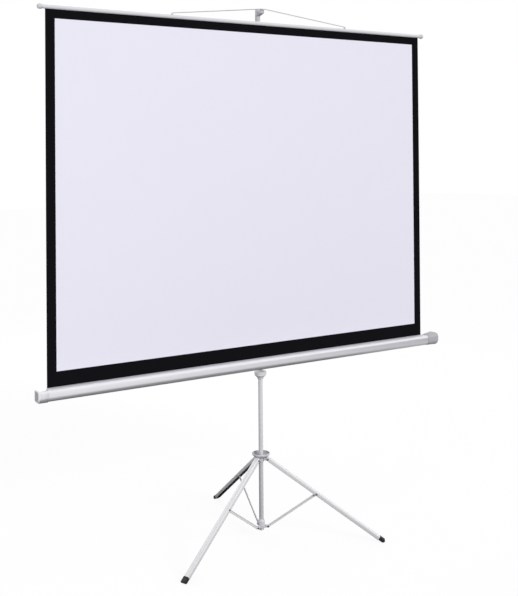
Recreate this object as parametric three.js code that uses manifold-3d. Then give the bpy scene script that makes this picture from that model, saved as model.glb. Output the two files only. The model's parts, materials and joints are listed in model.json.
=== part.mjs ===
// Tripod projection screen: a folding three-legged stand, a telescopic mast, and a spring-roller screen
// that is drawn up out of a horizontal case and hung on the mast's hook by a wire bail.
// Millimetres, +Z up. The screen faces -Y. The origin is under the middle of the whole, on the floor.
import * as THREE from "three";
import { mergeVertices } from "three/addons/utils/BufferGeometryUtils.js";
import Module from "manifold-3d";

const wasm = await Module();
wasm.setup();

// Driving dimensions: fits
const CLEARANCE = 0.3;
const SIDES = 18;
const FINE_SIDES = 24;
const PIN_SIDES = 10;
const CUT = 1; // how far a cutter passes the face it cuts
const MERGE_DISTANCE = 1e-4;
const CORNER_STEPS = 5; // straight runs round a corner of an outline

// Driving dimensions: screen fabric and top bar
const VIEW_WIDTH = 2032;
const VIEW_HEIGHT = 1524;
const SIDE_BORDER = 43.5;
const TOP_BORDER = 40;
const BOTTOM_BORDER = 65;
const FABRIC_THICKNESS = 0.6;
const SCREEN_OFFSET = -54; // the fabric's middle from the mast, along X
const BAR_RADIUS = 9;
const BAR_WALL = 1.4;
const BAR_SLIT = 2.4;
const BAR_OVERHANG = 24; // bar past the fabric's edge
const BALL_RADIUS = 12.5;
const BALL_SOCKET = 10;
const BALL_MOUTH_WALL = 1.5;
const BALL_STEPS = 8;
const PARKED_BAR_HEIGHT = 76; // bar above the case when the mast is down

// Driving dimensions: bail and mast hook
const BAIL_HALF_SPAN = 503;
const BAIL_RISE = 74;
const BAIL_WIRE_RADIUS = 2.2;
const WIRE_SIDES = 10;
const WIRE_RINGS = 6;
const BAIL_FOOT_LENGTH = 8;
const TONGUE_HALF_WIDTH = 4.5;
const TONGUE_REACH = 21; // how far the tongue goes back over the lip
const TONGUE_DROP = 8;
const TONGUE_LIFT = 0.5; // wire above the lip
const EYELET_RADIUS = 6;
const EYELET_HEIGHT = 6;
const HOOK_WIDTH = 24;
const BAR_LANE = 2; // room between the top bar and the hook
const HOOK_LIP = 4.5;
const HOOK_CHANNEL_DEPTH = 13;
const HOOK_BACK = 15;
const HOOK_NOSE_DEPTH = 12;
const HOOK_SOCKET_RADIUS = 13;
const HOOK_SOCKET_LENGTH = 52;
const HOOK_CAP = 7;
const HOOK_FOOT_BEVEL = 1;
const HOOK_TOP_BEVEL = 4;
const HOOK_NOSE_RADIUS = 3;
const HOOK_EDGE_RADIUS = 2;

// Driving dimensions: case and roller
const CASE_HEIGHT_ABOVE_FLOOR = 879.5; // middle of the case
const CASE_HEIGHT = 52;
const CASE_DEPTH = 57;
const CASE_WALL = 1.5;
const CASE_FRONT_RADIUS = 17;
const CASE_BACK_RADIUS = 8;
const CASE_BACK_DISTANCE = 48; // from the mast's axis to the case's back
const CASE_OVERHANG = 40; // shell past the fabric's edge
const SLOT_WIDTH = 5;
const CAP_WALL = 2;
const CAP_OVERLAP = 30;
const LEFT_NOSE = 14;
const LEFT_BEVEL = 5;
const RIGHT_NOSE = 44;
const RIGHT_BEVEL = 8;
const RIGHT_FLARE = 5; // how far the right nose swells past its sleeve
const RIGHT_LIFT = 4.5; // and how far it sits above it
const NOSE_STEPS = 3; // flats round a nose's edge
const ROLLER_RADIUS = 19;
const ROLLER_WALL = 1;
const ROLLER_OVERHANG = 20;
const WRAP_THICKNESS = 2.7;
const PLUG_LENGTH = 16;
const PLUG_FLANGE = 2;
const SPINDLE_RADIUS = 4;
const SPINDLE_SEAT = 8; // depth of the spindle's hole in the end cap
const SPRING_SHAFT_LENGTH = 560;
const SPRING_WIRE_RADIUS = 1.2;
const SPRING_TURNS = 18;
const SPRING_PITCH = 25;
const SPRING_STEPS = 6; // straight runs in a turn
const SPRING_WIRE_STEPS = 3;

// Driving dimensions: tubes, locks and case bracket
const TUBE_RADIUS = 11;
const TUBE_WALL = 1;
const TUBE_FOOT = 10; // tube's end below the collar's pivots
const TUBE_BELOW_CASE = 68; // top of the tripod tube below the case's middle
const RISER_ABOVE_CASE = 64;
const HEIGHT_TRAVEL = 450;
const RISER_OVERLAP = 178;
const MAST_LOWER_OVERLAP = 95;
const MAST_UPPER_OVERLAP = 120;
const MAST_STEP = 30; // lower mast's top above the riser's top when both are down
const CUP_HEIGHT = 40;
const CUP_RADIUS = 30;
const CUP_RIM = 21;
const CUP_FOOT_WALL = 1.8;
const CUP_FOOT_FLARE = 2;
const CUP_FOOT_RISE = 6;
const CUP_SHOULDER = 5; // how far the shoulder stands in from the rim
const CUP_SHOULDER_RISE = 6;
const CUP_DRAFT = 1;
const CUP_TOP_WALL = 3;
const COLLET_ROOM = 12;
const COLLET_WALL = 4;
const COLLET_SLIT = 2;
const COLLAR_GRIP = 26; // lock collar's hold on its own tube
const UPPER_GRIP = 15;
const COLLAR_LIP = 13; // lock collar above its tube's end
const UPPER_LIP = 9;
const COLLAR_WALL = 6;
const COLLAR_BEVEL = 2;
const COLLAR_BEVEL_RISE = 4;
const BRACKET_WALL = 5;
const BRACKET_HEIGHT = 70;
const BLOCK_WIDTH = 30;
const BLOCK_HEIGHT = 48;
const BLOCK_CHEEK = 5;
const BLOCK_FRONT_WALL = 8;
const STUD_RADIUS = 5;
const PIVOT_PLATE_RADIUS = 24;
const PIVOT_PLATE_THICKNESS = 4.5;
const WASHER_RADIUS = 20;
const WASHER_THICKNESS = 1.6;
const NUT_RADIUS = 9;
const NUT_THICKNESS = 7;
const NUT_SIDES = 6;

// Driving dimensions: tripod
const TRIPOD_TURN = -7.4; // the stand is turned a little from square, in degrees
const PIVOT_RADIUS = 34;
const LINK_LENGTH = 292; // hub pivot to spreader pin, and spreader pin to collar pivot
const SPREAD_ANGLE = 55.4; // leg from the vertical, in degrees
const LEG_LENGTH = 660; // hub pivot to the leg's end
const LEG_HEAD = 9; // channel above the hub pivot
const LEG_WIDTH = 24;
const LEG_DEPTH = 18;
const LEG_WALL = 1.2;
const LEG_PIVOT_INSET = 8.5; // pivot to the inside of the channel's back
const LEG_EDGE_RADIUS = 2.4;
const LEG_EDGE_STEPS = 3;
const STRAP_WIDTH = 12;
const STRAP_THICKNESS = 4;
const PIN_RADIUS = 3;
const PIN_SHOULDER = 5;
const PIN_HEAD_RADIUS = 5.5;
const PIN_HEAD = 2.2;
const PIN_HEAD_BEVEL = 1;
const EAR_THICKNESS = 3;
const COLLAR_RADIUS = 17;
const COLLAR_RISE = 34;
const COLLAR_DROP = 7.7;
const HUB_SLEEVE_RADIUS = 15;
const HUB_SLEEVE_DROP = 14;
const HUB_SKIRT_RISE = 13.5; // underside of the bowl above the leg pivots
const HUB_BOWL_RISE = 16;
const HUB_BOWL_FLARE = 18;
const HUB_RIM = 5;
const HUB_WALL = 2;
const HUB_OVERHANG = 10;
const LUG_RADIUS = 6;
const BOOT_PROUD = 0.8; // how far the boot stands out past the leg's faces
const BOOT_DEPTH = 16;
const BOOT_SHANK = 24; // plug inside the leg
const BOOT_HEEL = 22; // rubber past the leg's end, on its lower side
const BOOT_SOLE = 10; // flat on the floor, along the leg
const BOOT_TOE_RADIUS = 6;
const PLUG_CAP_RADIUS = 13;
const PLUG_CAP = 9;
const PLUG_BEVEL = 3;
const PLUG_SHANK = 12;

// Finishes, from the photograph
const finish = (color, roughness, metalness) =>
  new THREE.MeshStandardMaterial({ color, roughness, metalness });
const silver = finish(0xd9d9de, 0.4, 0.5);
const paleGrey = finish(0xdedee2, 0.45, 0.3);
const greyPlastic = finish(0xb9b9bf, 0.5, 0);
const darkPlastic = finish(0x5c5c62, 0.5, 0);
const steel = finish(0xb4b6ba, 0.35, 0.9);
const blackRubber = finish(0x17171a, 0.8, 0);
const screenCloth = finish(0xe6e4f0, 0.9, 0);
const white = finish(0xececf0, 0.4, 0.1);

// Places worked out from the driving dimensions
const radians = THREE.MathUtils.degToRad;
const spread = radians(SPREAD_ANGLE);
const riserRadius = TUBE_RADIUS - TUBE_WALL - CLEARANCE;
const mastLowerRadius = riserRadius - TUBE_WALL - CLEARANCE;
const mastUpperRadius = mastLowerRadius - TUBE_WALL - CLEARANCE;
const caseZ = CASE_HEIGHT_ABOVE_FLOOR;
const slotZ = caseZ + CASE_HEIGHT / 2;
const fabricHalf = VIEW_WIDTH / 2 + SIDE_BORDER;
const shellHalf = fabricHalf + CASE_OVERHANG;
const rollerHalf = fabricHalf + ROLLER_OVERHANG;
const rollerY = -(CASE_BACK_DISTANCE + CASE_DEPTH / 2);
const wrapInner = ROLLER_RADIUS + CLEARANCE;
const wrapOuter = wrapInner + WRAP_THICKNESS;
const fabricY = rollerY + wrapOuter + CLEARANCE + FABRIC_THICKNESS / 2;
const barZ = slotZ + BOTTOM_BORDER + VIEW_HEIGHT + TOP_BORDER + BAR_RADIUS - BAR_WALL / 2;
const barHalf = fabricHalf + BAR_OVERHANG;
const apexZ = barZ + BAIL_RISE;
const stroke = (barZ - slotZ - PARKED_BAR_HEIGHT) / 2;
const tubeTop = caseZ - TUBE_BELOW_CASE;
const riserTop = caseZ + RISER_ABOVE_CASE;
const riserBottom = tubeTop - HEIGHT_TRAVEL - RISER_OVERLAP;
const mastLowerTop = riserTop + MAST_STEP + stroke;
const mastLowerBottom = riserTop - MAST_LOWER_OVERLAP;
const hookReach = -fabricY - BAR_RADIUS - BAR_LANE;
const lipTop = apexZ - BAIL_WIRE_RADIUS - TONGUE_LIFT;
const mastTop = lipTop - HOOK_CHANNEL_DEPTH;
const mastUpperBottom = mastLowerTop - MAST_UPPER_OVERLAP;
const legBack = LEG_PIVOT_INSET + LEG_WALL;
const legLip = LEG_DEPTH - legBack;
const legInside = LEG_WIDTH / 2 - LEG_WALL;
const bootOutside = legBack + BOOT_PROUD;
const bootInside = BOOT_DEPTH - bootOutside;
const legEndZ = bootInside * Math.sin(spread) + BOOT_HEEL * Math.cos(spread);
const hubZ = legEndZ + LEG_LENGTH * Math.cos(spread);
const collarZ = hubZ - 2 * LINK_LENGTH * Math.cos(spread);
const tubeBottom = collarZ - TUBE_FOOT;
const pinHole = PIN_RADIUS + CLEARANCE;

// A closed geometry as a solid that faces out, whichever way round its outline was drawn.
function solid(geometry) {
  const bare = geometry.clone();
  bare.deleteAttribute("normal");
  bare.deleteAttribute("uv");
  const merged = mergeVertices(bare, MERGE_DISTANCE);
  const position = merged.getAttribute("position");
  const corner = (i) => new THREE.Vector3().fromBufferAttribute(position, i);
  const triangles = [];
  let volume = 0;
  for (let i = 0; i < merged.index.count; i += 3) {
    const [a, b, c] = [0, 1, 2].map((k) => merged.index.getX(i + k));
    if (a === b || b === c || c === a) continue;
    triangles.push([a, b, c]);
    volume += corner(a).dot(corner(b).cross(corner(c)));
  }
  const turned = volume < 0 ? triangles.map(([a, b, c]) => [a, c, b]) : triangles;
  const vertProperties = new Float32Array(position.array);
  const triVerts = new Uint32Array(turned.flat());
  return new wasm.Manifold(new wasm.Mesh({ numProp: 3, vertProperties, triVerts }));
}

function geometryOf(made) {
  const mesh = made.getMesh();
  const geometry = new THREE.BufferGeometry();
  geometry.setAttribute("position", new THREE.BufferAttribute(mesh.vertProperties, 3));
  geometry.setIndex(new THREE.BufferAttribute(mesh.triVerts, 1));
  geometry.computeVertexNormals();
  return geometry;
}

function piece(parent, name, made, material) {
  const mesh = new THREE.Mesh(geometryOf(made), material);
  mesh.name = name;
  parent.add(mesh);
}

// A profile of [radius, height] points turned about the Z axis.
function spin(profile, sides = SIDES) {
  const points = profile.map(([radius, height]) => new THREE.Vector2(radius, height));
  if (profile[0][0] > 0) points.push(points[0].clone());
  return solid(new THREE.LatheGeometry(points, sides).rotateX(Math.PI / 2));
}

const tube = (inner, outer, bottom, top, sides) =>
  spin([[inner, bottom], [outer, bottom], [outer, top], [inner, top]], sides);
const rod = (radius, bottom, top, sides) =>
  spin([[0, bottom], [radius, bottom], [radius, top], [0, top]], sides);

function block(low, high) {
  const size = high.map((value, i) => value - low[i]);
  const middle = high.map((value, i) => (value + low[i]) / 2);
  return solid(new THREE.BoxGeometry(...size).translate(...middle));
}

// Outlines with their corners rounded: each corner is [x, y, radius].
function outline(corners) {
  const shape = new THREE.Shape();
  corners.forEach(([x, y, radius = 0], i) => {
    const here = new THREE.Vector2(x, y);
    const [before, after] = [i - 1, i + 1].map((k) => {
      const [nx, ny] = corners[(k + corners.length) % corners.length];
      return new THREE.Vector2(nx, ny).sub(here).setLength(radius).add(here);
    });
    if (i === 0) shape.moveTo(before.x, before.y);
    else shape.lineTo(before.x, before.y);
    if (radius > 0) shape.quadraticCurveTo(x, y, after.x, after.y);
  });
  shape.closePath();
  return shape;
}

const extruded = (shape, depth, curveSegments = CORNER_STEPS) =>
  new THREE.ExtrudeGeometry(shape, { depth, curveSegments, bevelEnabled: false });
const axisX = new THREE.Vector3(1, 0, 0);
const axisY = new THREE.Vector3(0, 1, 0);
const axisZ = new THREE.Vector3(0, 0, 1);
const ontoX = new THREE.Matrix4().makeBasis(axisY, axisZ, axisX);
const ontoY = new THREE.Matrix4().makeBasis(axisX, axisZ, axisY.clone().negate());

// A (y, z) outline carried along X, and an (x, z) outline carried along Y.
const alongX = (shape, from, to) =>
  solid(extruded(shape, to - from).applyMatrix4(ontoX).translate(from, 0, 0));
const alongY = (shape, from, to) =>
  solid(extruded(shape, to - from).applyMatrix4(ontoY).translate(0, to, 0));

// Turned pieces that lie along X or Y, through the point (x, y, z) of the other two axes.
const turnedX = (made, y, z) => made.rotate([0, 90, 0]).translate([0, y, z]);
const turnedY = (made, x, z) => made.rotate([-90, 0, 0]).translate([x, 0, z]);

// A bent wire: straight runs with round knees.
function wire(points, radius) {
  const knee = (p) => solid(new THREE.SphereGeometry(radius, WIRE_SIDES, WIRE_RINGS).translate(...p));
  const knees = points.slice(1, -1).map(knee);
  const runs = points.slice(1).map((p, i) => {
    const from = new THREE.Vector3(...points[i]);
    const way = new THREE.Vector3(...p).sub(from);
    const length = way.length();
    const run = new THREE.CylinderGeometry(radius, radius, length, WIRE_SIDES).translate(0, length / 2, 0);
    const turn = new THREE.Quaternion().setFromUnitVectors(axisY, way.clone().normalize());
    return solid(run.applyQuaternion(turn).translate(...points[i]));
  });
  return [...knees, ...runs].reduce((whole, next) => whole.add(next));
}

// The case's section, grown or shrunk by a wall or a clearance, and lifted.
function caseOutline(grow, lift = 0) {
  const back = grow - CASE_BACK_DISTANCE;
  const front = -CASE_BACK_DISTANCE - CASE_DEPTH - grow;
  const bottom = caseZ - CASE_HEIGHT / 2 - grow + lift;
  const top = caseZ + CASE_HEIGHT / 2 + grow + lift;
  const frontRadius = CASE_FRONT_RADIUS + grow;
  const backRadius = CASE_BACK_RADIUS + grow;
  return outline([
    [front, bottom, frontRadius],
    [back, bottom, backRadius],
    [back, top, backRadius],
    [front, top, frontRadius],
  ]);
}

const model = new THREE.Group();

// Tripod: tube with its end plug and bottom collar, hub, and three legs with spreaders and boots
function buildStand() {
  const stand = new THREE.Group();
  model.add(stand);
  const bore = TUBE_RADIUS + CLEARANCE;
  const post = tube(TUBE_RADIUS - TUBE_WALL, TUBE_RADIUS, tubeBottom, tubeTop, FINE_SIDES);
  piece(stand, "tripod_tube", post, paleGrey);

  const shank = TUBE_RADIUS - TUBE_WALL - CLEARANCE;
  const capTop = tubeBottom - CLEARANCE;
  const capBottom = capTop - PLUG_CAP;
  const plug = spin([
    [0, capBottom],
    [PLUG_CAP_RADIUS - PLUG_BEVEL, capBottom],
    [PLUG_CAP_RADIUS, capBottom + PLUG_BEVEL],
    [PLUG_CAP_RADIUS, capTop],
    [shank, capTop],
    [shank, tubeBottom + PLUG_SHANK],
    [0, tubeBottom + PLUG_SHANK],
  ]);
  piece(stand, "tube_end_plug", plug, greyPlastic);

  const azimuths = { right: -30 + TRIPOD_TURN, rear: 90 + TRIPOD_TURN, left: 210 + TRIPOD_TURN };
  const collarBottom = collarZ - COLLAR_DROP;
  const collarTop = collarZ + COLLAR_RISE;
  let collar = spin([
    [bore, collarBottom],
    [COLLAR_RADIUS, collarBottom],
    [COLLAR_RADIUS, collarTop - COLLAR_WALL],
    [COLLAR_RADIUS - COLLAR_WALL / 2, collarTop],
    [bore, collarTop],
  ]);
  const skirt = hubZ + HUB_SKIRT_RISE;
  const rimRadius = PIVOT_RADIUS + HUB_OVERHANG;
  const rimTop = skirt + HUB_BOWL_RISE;
  const bowlFoot = rimRadius - HUB_BOWL_FLARE;
  let hub = spin([
    [bore, hubZ - HUB_SLEEVE_DROP],
    [HUB_SLEEVE_RADIUS, hubZ - HUB_SLEEVE_DROP],
    [HUB_SLEEVE_RADIUS, skirt],
    [bowlFoot, skirt],
    [rimRadius, rimTop - HUB_RIM],
    [rimRadius, rimTop],
    [rimRadius - HUB_WALL, rimTop],
    [rimRadius - HUB_WALL, rimTop - HUB_RIM],
    [bowlFoot, skirt + HUB_WALL],
    [bore, skirt + HUB_WALL],
  ], FINE_SIDES);

  const lugHalf = legInside - CLEARANCE;
  const earInside = STRAP_THICKNESS / 2 + CLEARANCE;
  const earOutside = earInside + EAR_THICKNESS;
  const tongue = (end, z) => {
    const shape = new THREE.Shape().moveTo(bore + CLEARANCE, z - end).lineTo(PIVOT_RADIUS, z - end);
    return shape.absarc(PIVOT_RADIUS, z, end, -Math.PI / 2, Math.PI / 2).lineTo(bore + CLEARANCE, z + end);
  };
  const hole = (z, half) => turnedY(rod(pinHole, -half, half, PIN_SIDES), PIVOT_RADIUS, z);
  for (const azimuth of Object.values(azimuths)) {
    const turn = (made) => made.rotate([0, 0, azimuth]);
    const earShape = tongue(STRAP_WIDTH / 2, collarZ);
    for (const [from, to] of [[earInside, earOutside], [-earOutside, -earInside]])
      collar = collar.add(turn(alongY(earShape, from, to)));
    collar = collar.subtract(turn(hole(collarZ, earOutside + CUT)));
    hub = hub.add(turn(alongY(tongue(LUG_RADIUS, hubZ), -lugHalf, lugHalf)));
    hub = hub.subtract(turn(hole(hubZ, lugHalf + CUT)));
  }
  piece(stand, "bottom_collar", collar, greyPlastic);
  piece(stand, "hub", hub, greyPlastic);
  for (const [side, azimuth] of Object.entries(azimuths)) buildLeg(stand, side, radians(azimuth));
}

// A rivet along Y: its shank is thicker where it spaces a strap, and both ends are headed.
function rivet(spacerFrom, spacerTo, headFrom) {
  const half = [[PIN_RADIUS, spacerFrom]];
  const spacer = [[PIN_SHOULDER, spacerFrom], [PIN_SHOULDER, spacerTo], [PIN_RADIUS, spacerTo]];
  if (spacerTo > spacerFrom) half.push(...spacer);
  half.push([PIN_RADIUS, headFrom], [PIN_HEAD_RADIUS, headFrom]);
  half.push([PIN_HEAD_RADIUS - PIN_HEAD_BEVEL, headFrom + PIN_HEAD]);
  const lower = half.map(([radius, height]) => [radius, -height]).reverse();
  const end = headFrom + PIN_HEAD;
  return turnedY(spin([[0, -end], ...lower, ...half, [0, end]], PIN_SIDES), 0, 0);
}

function buildLeg(stand, side, azimuth) {
  const around = new THREE.Group();
  around.rotation.z = azimuth;
  stand.add(around);

  const legFrame = new THREE.Group();
  legFrame.position.set(PIVOT_RADIUS, 0, hubZ);
  legFrame.rotation.y = -spread;
  around.add(legFrame);
  const half = LEG_WIDTH / 2;
  const innerRadius = LEG_EDGE_RADIUS - LEG_WALL;
  const section = outline([
    [-legLip, -half],
    [legBack, -half, LEG_EDGE_RADIUS],
    [legBack, half, LEG_EDGE_RADIUS],
    [-legLip, half],
    [-legLip, legInside],
    [LEG_PIVOT_INSET, legInside, innerRadius],
    [LEG_PIVOT_INSET, -legInside, innerRadius],
    [-legLip, -legInside],
  ]);
  const blank = extruded(section, LEG_LENGTH + LEG_HEAD, LEG_EDGE_STEPS);
  const channel = solid(blank.translate(0, 0, -LEG_LENGTH));
  const hole = turnedY(rod(pinHole, -half - CUT, half + CUT, PIN_SIDES), 0, 0);
  const drilledLeg = channel.subtract(hole).subtract(hole.translate([0, 0, -LINK_LENGTH]));
  piece(legFrame, `leg_${side}`, drilledLeg, paleGrey);
  const head = half + CLEARANCE;
  const spacer = STRAP_THICKNESS / 2 + CLEARANCE;
  const inside = legInside - CLEARANCE;
  piece(legFrame, `hub_pin_${side}`, rivet(0, 0, head), steel);
  piece(legFrame, `leg_pin_${side}`, rivet(spacer, inside, head).translate([0, 0, -LINK_LENGTH]), steel);

  const spreaderFrame = new THREE.Group();
  spreaderFrame.position.set(PIVOT_RADIUS, 0, collarZ);
  spreaderFrame.rotation.y = spread;
  around.add(spreaderFrame);
  const end = STRAP_WIDTH / 2;
  const strapShape = new THREE.Shape().absarc(0, 0, end, Math.PI, 2 * Math.PI).lineTo(end, LINK_LENGTH);
  strapShape.absarc(0, LINK_LENGTH, end, 0, Math.PI).lineTo(-end, 0);
  const strap = alongY(strapShape, -STRAP_THICKNESS / 2, STRAP_THICKNESS / 2);
  const strapHole = turnedY(rod(pinHole, -STRAP_THICKNESS, STRAP_THICKNESS, PIN_SIDES), 0, 0);
  const drilled = strap.subtract(strapHole).subtract(strapHole.translate([0, 0, LINK_LENGTH]));
  piece(spreaderFrame, `spreader_${side}`, drilled, paleGrey);
  const earHead = STRAP_THICKNESS / 2 + EAR_THICKNESS + 2 * CLEARANCE;
  piece(spreaderFrame, `collar_pin_${side}`, rivet(0, 0, earHead), steel);
  piece(around, `foot_${side}`, boot(), blackRubber);
}

// A rubber boot: a plug in the leg's end, and a block below it that is cut flat on the floor.
function boot() {
  const along = new THREE.Vector2(Math.sin(spread), -Math.cos(spread));
  const across = new THREE.Vector2(Math.cos(spread), Math.sin(spread));
  const end = new THREE.Vector2(PIVOT_RADIUS, hubZ).addScaledVector(along, LEG_LENGTH);
  const at = (down, out) => end.clone().addScaledVector(along, down).addScaledVector(across, out).toArray();
  const half = LEG_WIDTH / 2 + BOOT_PROUD;
  const [heel] = at(BOOT_HEEL, -bootInside);
  const side = outline([
    [...at(CLEARANCE, bootOutside), BOOT_PROUD],
    [...at(BOOT_HEEL + BOOT_SOLE * Math.sin(spread), bootOutside), BOOT_TOE_RADIUS],
    [heel + BOOT_SOLE, 0],
    [heel, 0],
    [...at(CLEARANCE, -bootInside), BOOT_PROUD],
  ]);
  const plugFoot = -LEG_LENGTH - BOOT_HEEL / 2;
  const plugTop = -LEG_LENGTH + BOOT_SHANK;
  const plugShape = outline([
    [BOOT_PROUD - bootInside, plugFoot],
    [LEG_PIVOT_INSET - CLEARANCE, plugFoot],
    [LEG_PIVOT_INSET - CLEARANCE, plugTop],
    [BOOT_PROUD - bootInside, plugTop],
  ]);
  const plugHalf = legInside - 2 * CLEARANCE;
  const plug = alongY(plugShape, -plugHalf, plugHalf);
  const placed = plug.rotate([0, -SPREAD_ANGLE, 0]).translate([PIVOT_RADIUS, 0, hubZ]);
  return alongY(side, -half, half).add(placed);
}

// Height lock, riser and case bracket
function buildRiser() {
  const riser = new THREE.Group();
  model.add(riser);
  const tubeBore = TUBE_RADIUS + CLEARANCE;
  const riserBore = riserRadius + CLEARANCE;
  const cupBottom = tubeTop - (CUP_HEIGHT - CUP_TOP_WALL - COLLET_ROOM);
  const cupTop = cupBottom + CUP_HEIGHT;
  const seat = tubeTop + CLEARANCE;
  const collarRoom = riserBore + COLLET_WALL + CLEARANCE;
  const rimBottom = cupTop - CUP_RIM;
  const cup = spin([
    [tubeBore, cupBottom],
    [tubeBore + CUP_FOOT_WALL, cupBottom],
    [tubeBore + CUP_FOOT_WALL + CUP_FOOT_FLARE, cupBottom + CUP_FOOT_RISE],
    [CUP_RADIUS - CUP_SHOULDER, rimBottom - CUP_SHOULDER_RISE / 2],
    [CUP_RADIUS - CUP_DRAFT, rimBottom + CUP_SHOULDER_RISE / 2],
    [CUP_RADIUS, cupTop - CUP_TOP_WALL],
    [CUP_RADIUS - CUP_TOP_WALL, cupTop],
    [riserBore, cupTop],
    [riserBore, cupTop - CUP_TOP_WALL],
    [collarRoom, cupTop - CUP_TOP_WALL],
    [collarRoom, seat],
    [tubeBore, seat],
  ], FINE_SIDES);
  piece(riser, "height_collar", cup, greyPlastic);
  const colletBottom = tubeTop + 2 * CLEARANCE;
  const colletTop = cupTop - CUP_TOP_WALL - CLEARANCE;
  const ring = tube(riserBore, riserBore + COLLET_WALL, colletBottom, colletTop);
  const slitHalf = COLLET_SLIT / 2;
  const slit = block([0, -slitHalf, colletBottom - CUT], [CUP_RADIUS, slitHalf, colletTop + CUT]);
  piece(riser, "height_collet", ring.subtract(slit), darkPlastic);
  const riserTube = tube(riserRadius - TUBE_WALL, riserRadius, riserBottom, riserTop, FINE_SIDES);
  piece(riser, "riser_tube", riserTube, paleGrey);

  const sleeveRadius = riserBore + BRACKET_WALL;
  const plateFront = -CASE_BACK_DISTANCE + CLEARANCE;
  const plateBack = plateFront + PIVOT_PLATE_THICKNESS;
  const washerFront = plateBack + CLEARANCE;
  const blockFront = washerFront + WASHER_THICKNESS + CLEARANCE;
  const pocketFront = blockFront + BLOCK_FRONT_WALL;
  const halfWidth = BLOCK_WIDTH / 2;
  const pocketHalf = halfWidth - BLOCK_CHEEK;
  const blockBottom = caseZ - BLOCK_HEIGHT / 2;
  const blockTop = caseZ + BLOCK_HEIGHT / 2;
  const sleeveBottom = caseZ - BRACKET_HEIGHT / 2;
  const pocketBack = -sleeveRadius;
  const pocket = block(
    [-pocketHalf, pocketFront, blockBottom - CUT],
    [pocketHalf, pocketBack, blockTop + CUT],
  );
  const bracket = tube(riserBore, sleeveRadius, sleeveBottom, sleeveBottom + BRACKET_HEIGHT, FINE_SIDES)
    .add(block([-halfWidth, blockFront, blockBottom], [halfWidth, 0, blockTop]))
    .subtract(rod(riserBore, blockBottom - CUT, blockTop + CUT, FINE_SIDES))
    .subtract(pocket)
    .subtract(turnedY(rod(STUD_RADIUS + CLEARANCE, blockFront - CUT, pocketFront + CUT), 0, caseZ));
  piece(riser, "case_bracket", bracket, greyPlastic);
  const washer = tube(STUD_RADIUS + CLEARANCE, WASHER_RADIUS, washerFront, washerFront + WASHER_THICKNESS);
  piece(riser, "pivot_washer", turnedY(washer, 0, caseZ), darkPlastic);
  const nutFront = pocketFront + CLEARANCE;
  const nutBack = nutFront + NUT_THICKNESS;
  const plate = spin([
    [0, plateFront],
    [PIVOT_PLATE_RADIUS, plateFront],
    [PIVOT_PLATE_RADIUS, plateBack],
    [STUD_RADIUS, plateBack],
    [STUD_RADIUS, nutBack],
    [0, nutBack],
  ]);
  piece(riser, "case_pivot_plate", turnedY(plate, 0, caseZ), steel);
  const nutHole = rod(STUD_RADIUS + CLEARANCE, nutFront - CUT, nutBack + CUT);
  const nut = rod(NUT_RADIUS, nutFront, nutBack, NUT_SIDES).subtract(nutHole);
  piece(riser, "pivot_nut", turnedY(nut, 0, caseZ), steel);
}

// Telescopic mast with its two lock collars and the hook on top
function buildMast() {
  const mast = new THREE.Group();
  model.add(mast);
  const lower = tube(mastLowerRadius - TUBE_WALL, mastLowerRadius, mastLowerBottom, mastLowerTop);
  const upper = tube(mastUpperRadius - TUBE_WALL, mastUpperRadius, mastUpperBottom, mastTop);
  piece(mast, "mast_lower_tube", lower, paleGrey);
  piece(mast, "mast_upper_tube", upper, paleGrey);
  const locks = [
    ["mast_lower_collar", riserRadius, mastLowerRadius, riserTop, COLLAR_GRIP, COLLAR_LIP],
    ["mast_upper_collar", mastLowerRadius, mastUpperRadius, mastLowerTop, UPPER_GRIP, UPPER_LIP],
  ];
  for (const [name, outerTube, innerTube, top, grip, lip] of locks) {
    const wide = outerTube + CLEARANCE;
    const narrow = innerTube + CLEARANCE;
    const outside = wide + COLLAR_WALL;
    const collar = spin([
      [wide, top - grip],
      [outside - COLLAR_BEVEL, top - grip],
      [outside, top - grip + COLLAR_BEVEL_RISE],
      [outside, top + lip - COLLAR_BEVEL_RISE],
      [outside - COLLAR_BEVEL, top + lip],
      [narrow, top + lip],
      [narrow, top + CLEARANCE],
      [wide, top + CLEARANCE],
    ]);
    piece(mast, name, collar, darkPlastic);
  }

  const socketBottom = mastTop - HOOK_SOCKET_LENGTH;
  const socketTop = lipTop + HOOK_CAP;
  const socket = spin([
    [0, mastTop + CLEARANCE],
    [mastUpperRadius + CLEARANCE, mastTop + CLEARANCE],
    [mastUpperRadius + CLEARANCE, socketBottom],
    [HOOK_SOCKET_RADIUS - HOOK_FOOT_BEVEL, socketBottom],
    [HOOK_SOCKET_RADIUS, socketBottom + HOOK_FOOT_BEVEL],
    [HOOK_SOCKET_RADIUS, socketTop - HOOK_TOP_BEVEL],
    [HOOK_SOCKET_RADIUS - HOOK_TOP_BEVEL, socketTop],
    [0, socketTop],
  ]);
  const channelFloor = lipTop - HOOK_CHANNEL_DEPTH;
  const root = -mastUpperRadius - 2 * CLEARANCE;
  const nose = outline([
    [root, channelFloor - HOOK_NOSE_DEPTH],
    [-hookReach, channelFloor - HOOK_NOSE_RADIUS, HOOK_NOSE_RADIUS],
    [-hookReach, lipTop, HOOK_EDGE_RADIUS],
    [-hookReach + HOOK_LIP, lipTop, HOOK_EDGE_RADIUS],
    [-hookReach + HOOK_LIP, channelFloor, HOOK_EDGE_RADIUS],
    [-HOOK_BACK, channelFloor, HOOK_EDGE_RADIUS],
    [-HOOK_BACK, socketTop - HOOK_TOP_BEVEL, HOOK_EDGE_RADIUS / 2],
    [root, socketTop - HOOK_TOP_BEVEL],
  ]);
  const hook = socket.add(alongX(nose, -HOOK_WIDTH / 2, HOOK_WIDTH / 2));
  piece(mast, "mast_hook", hook, darkPlastic);
}

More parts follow.
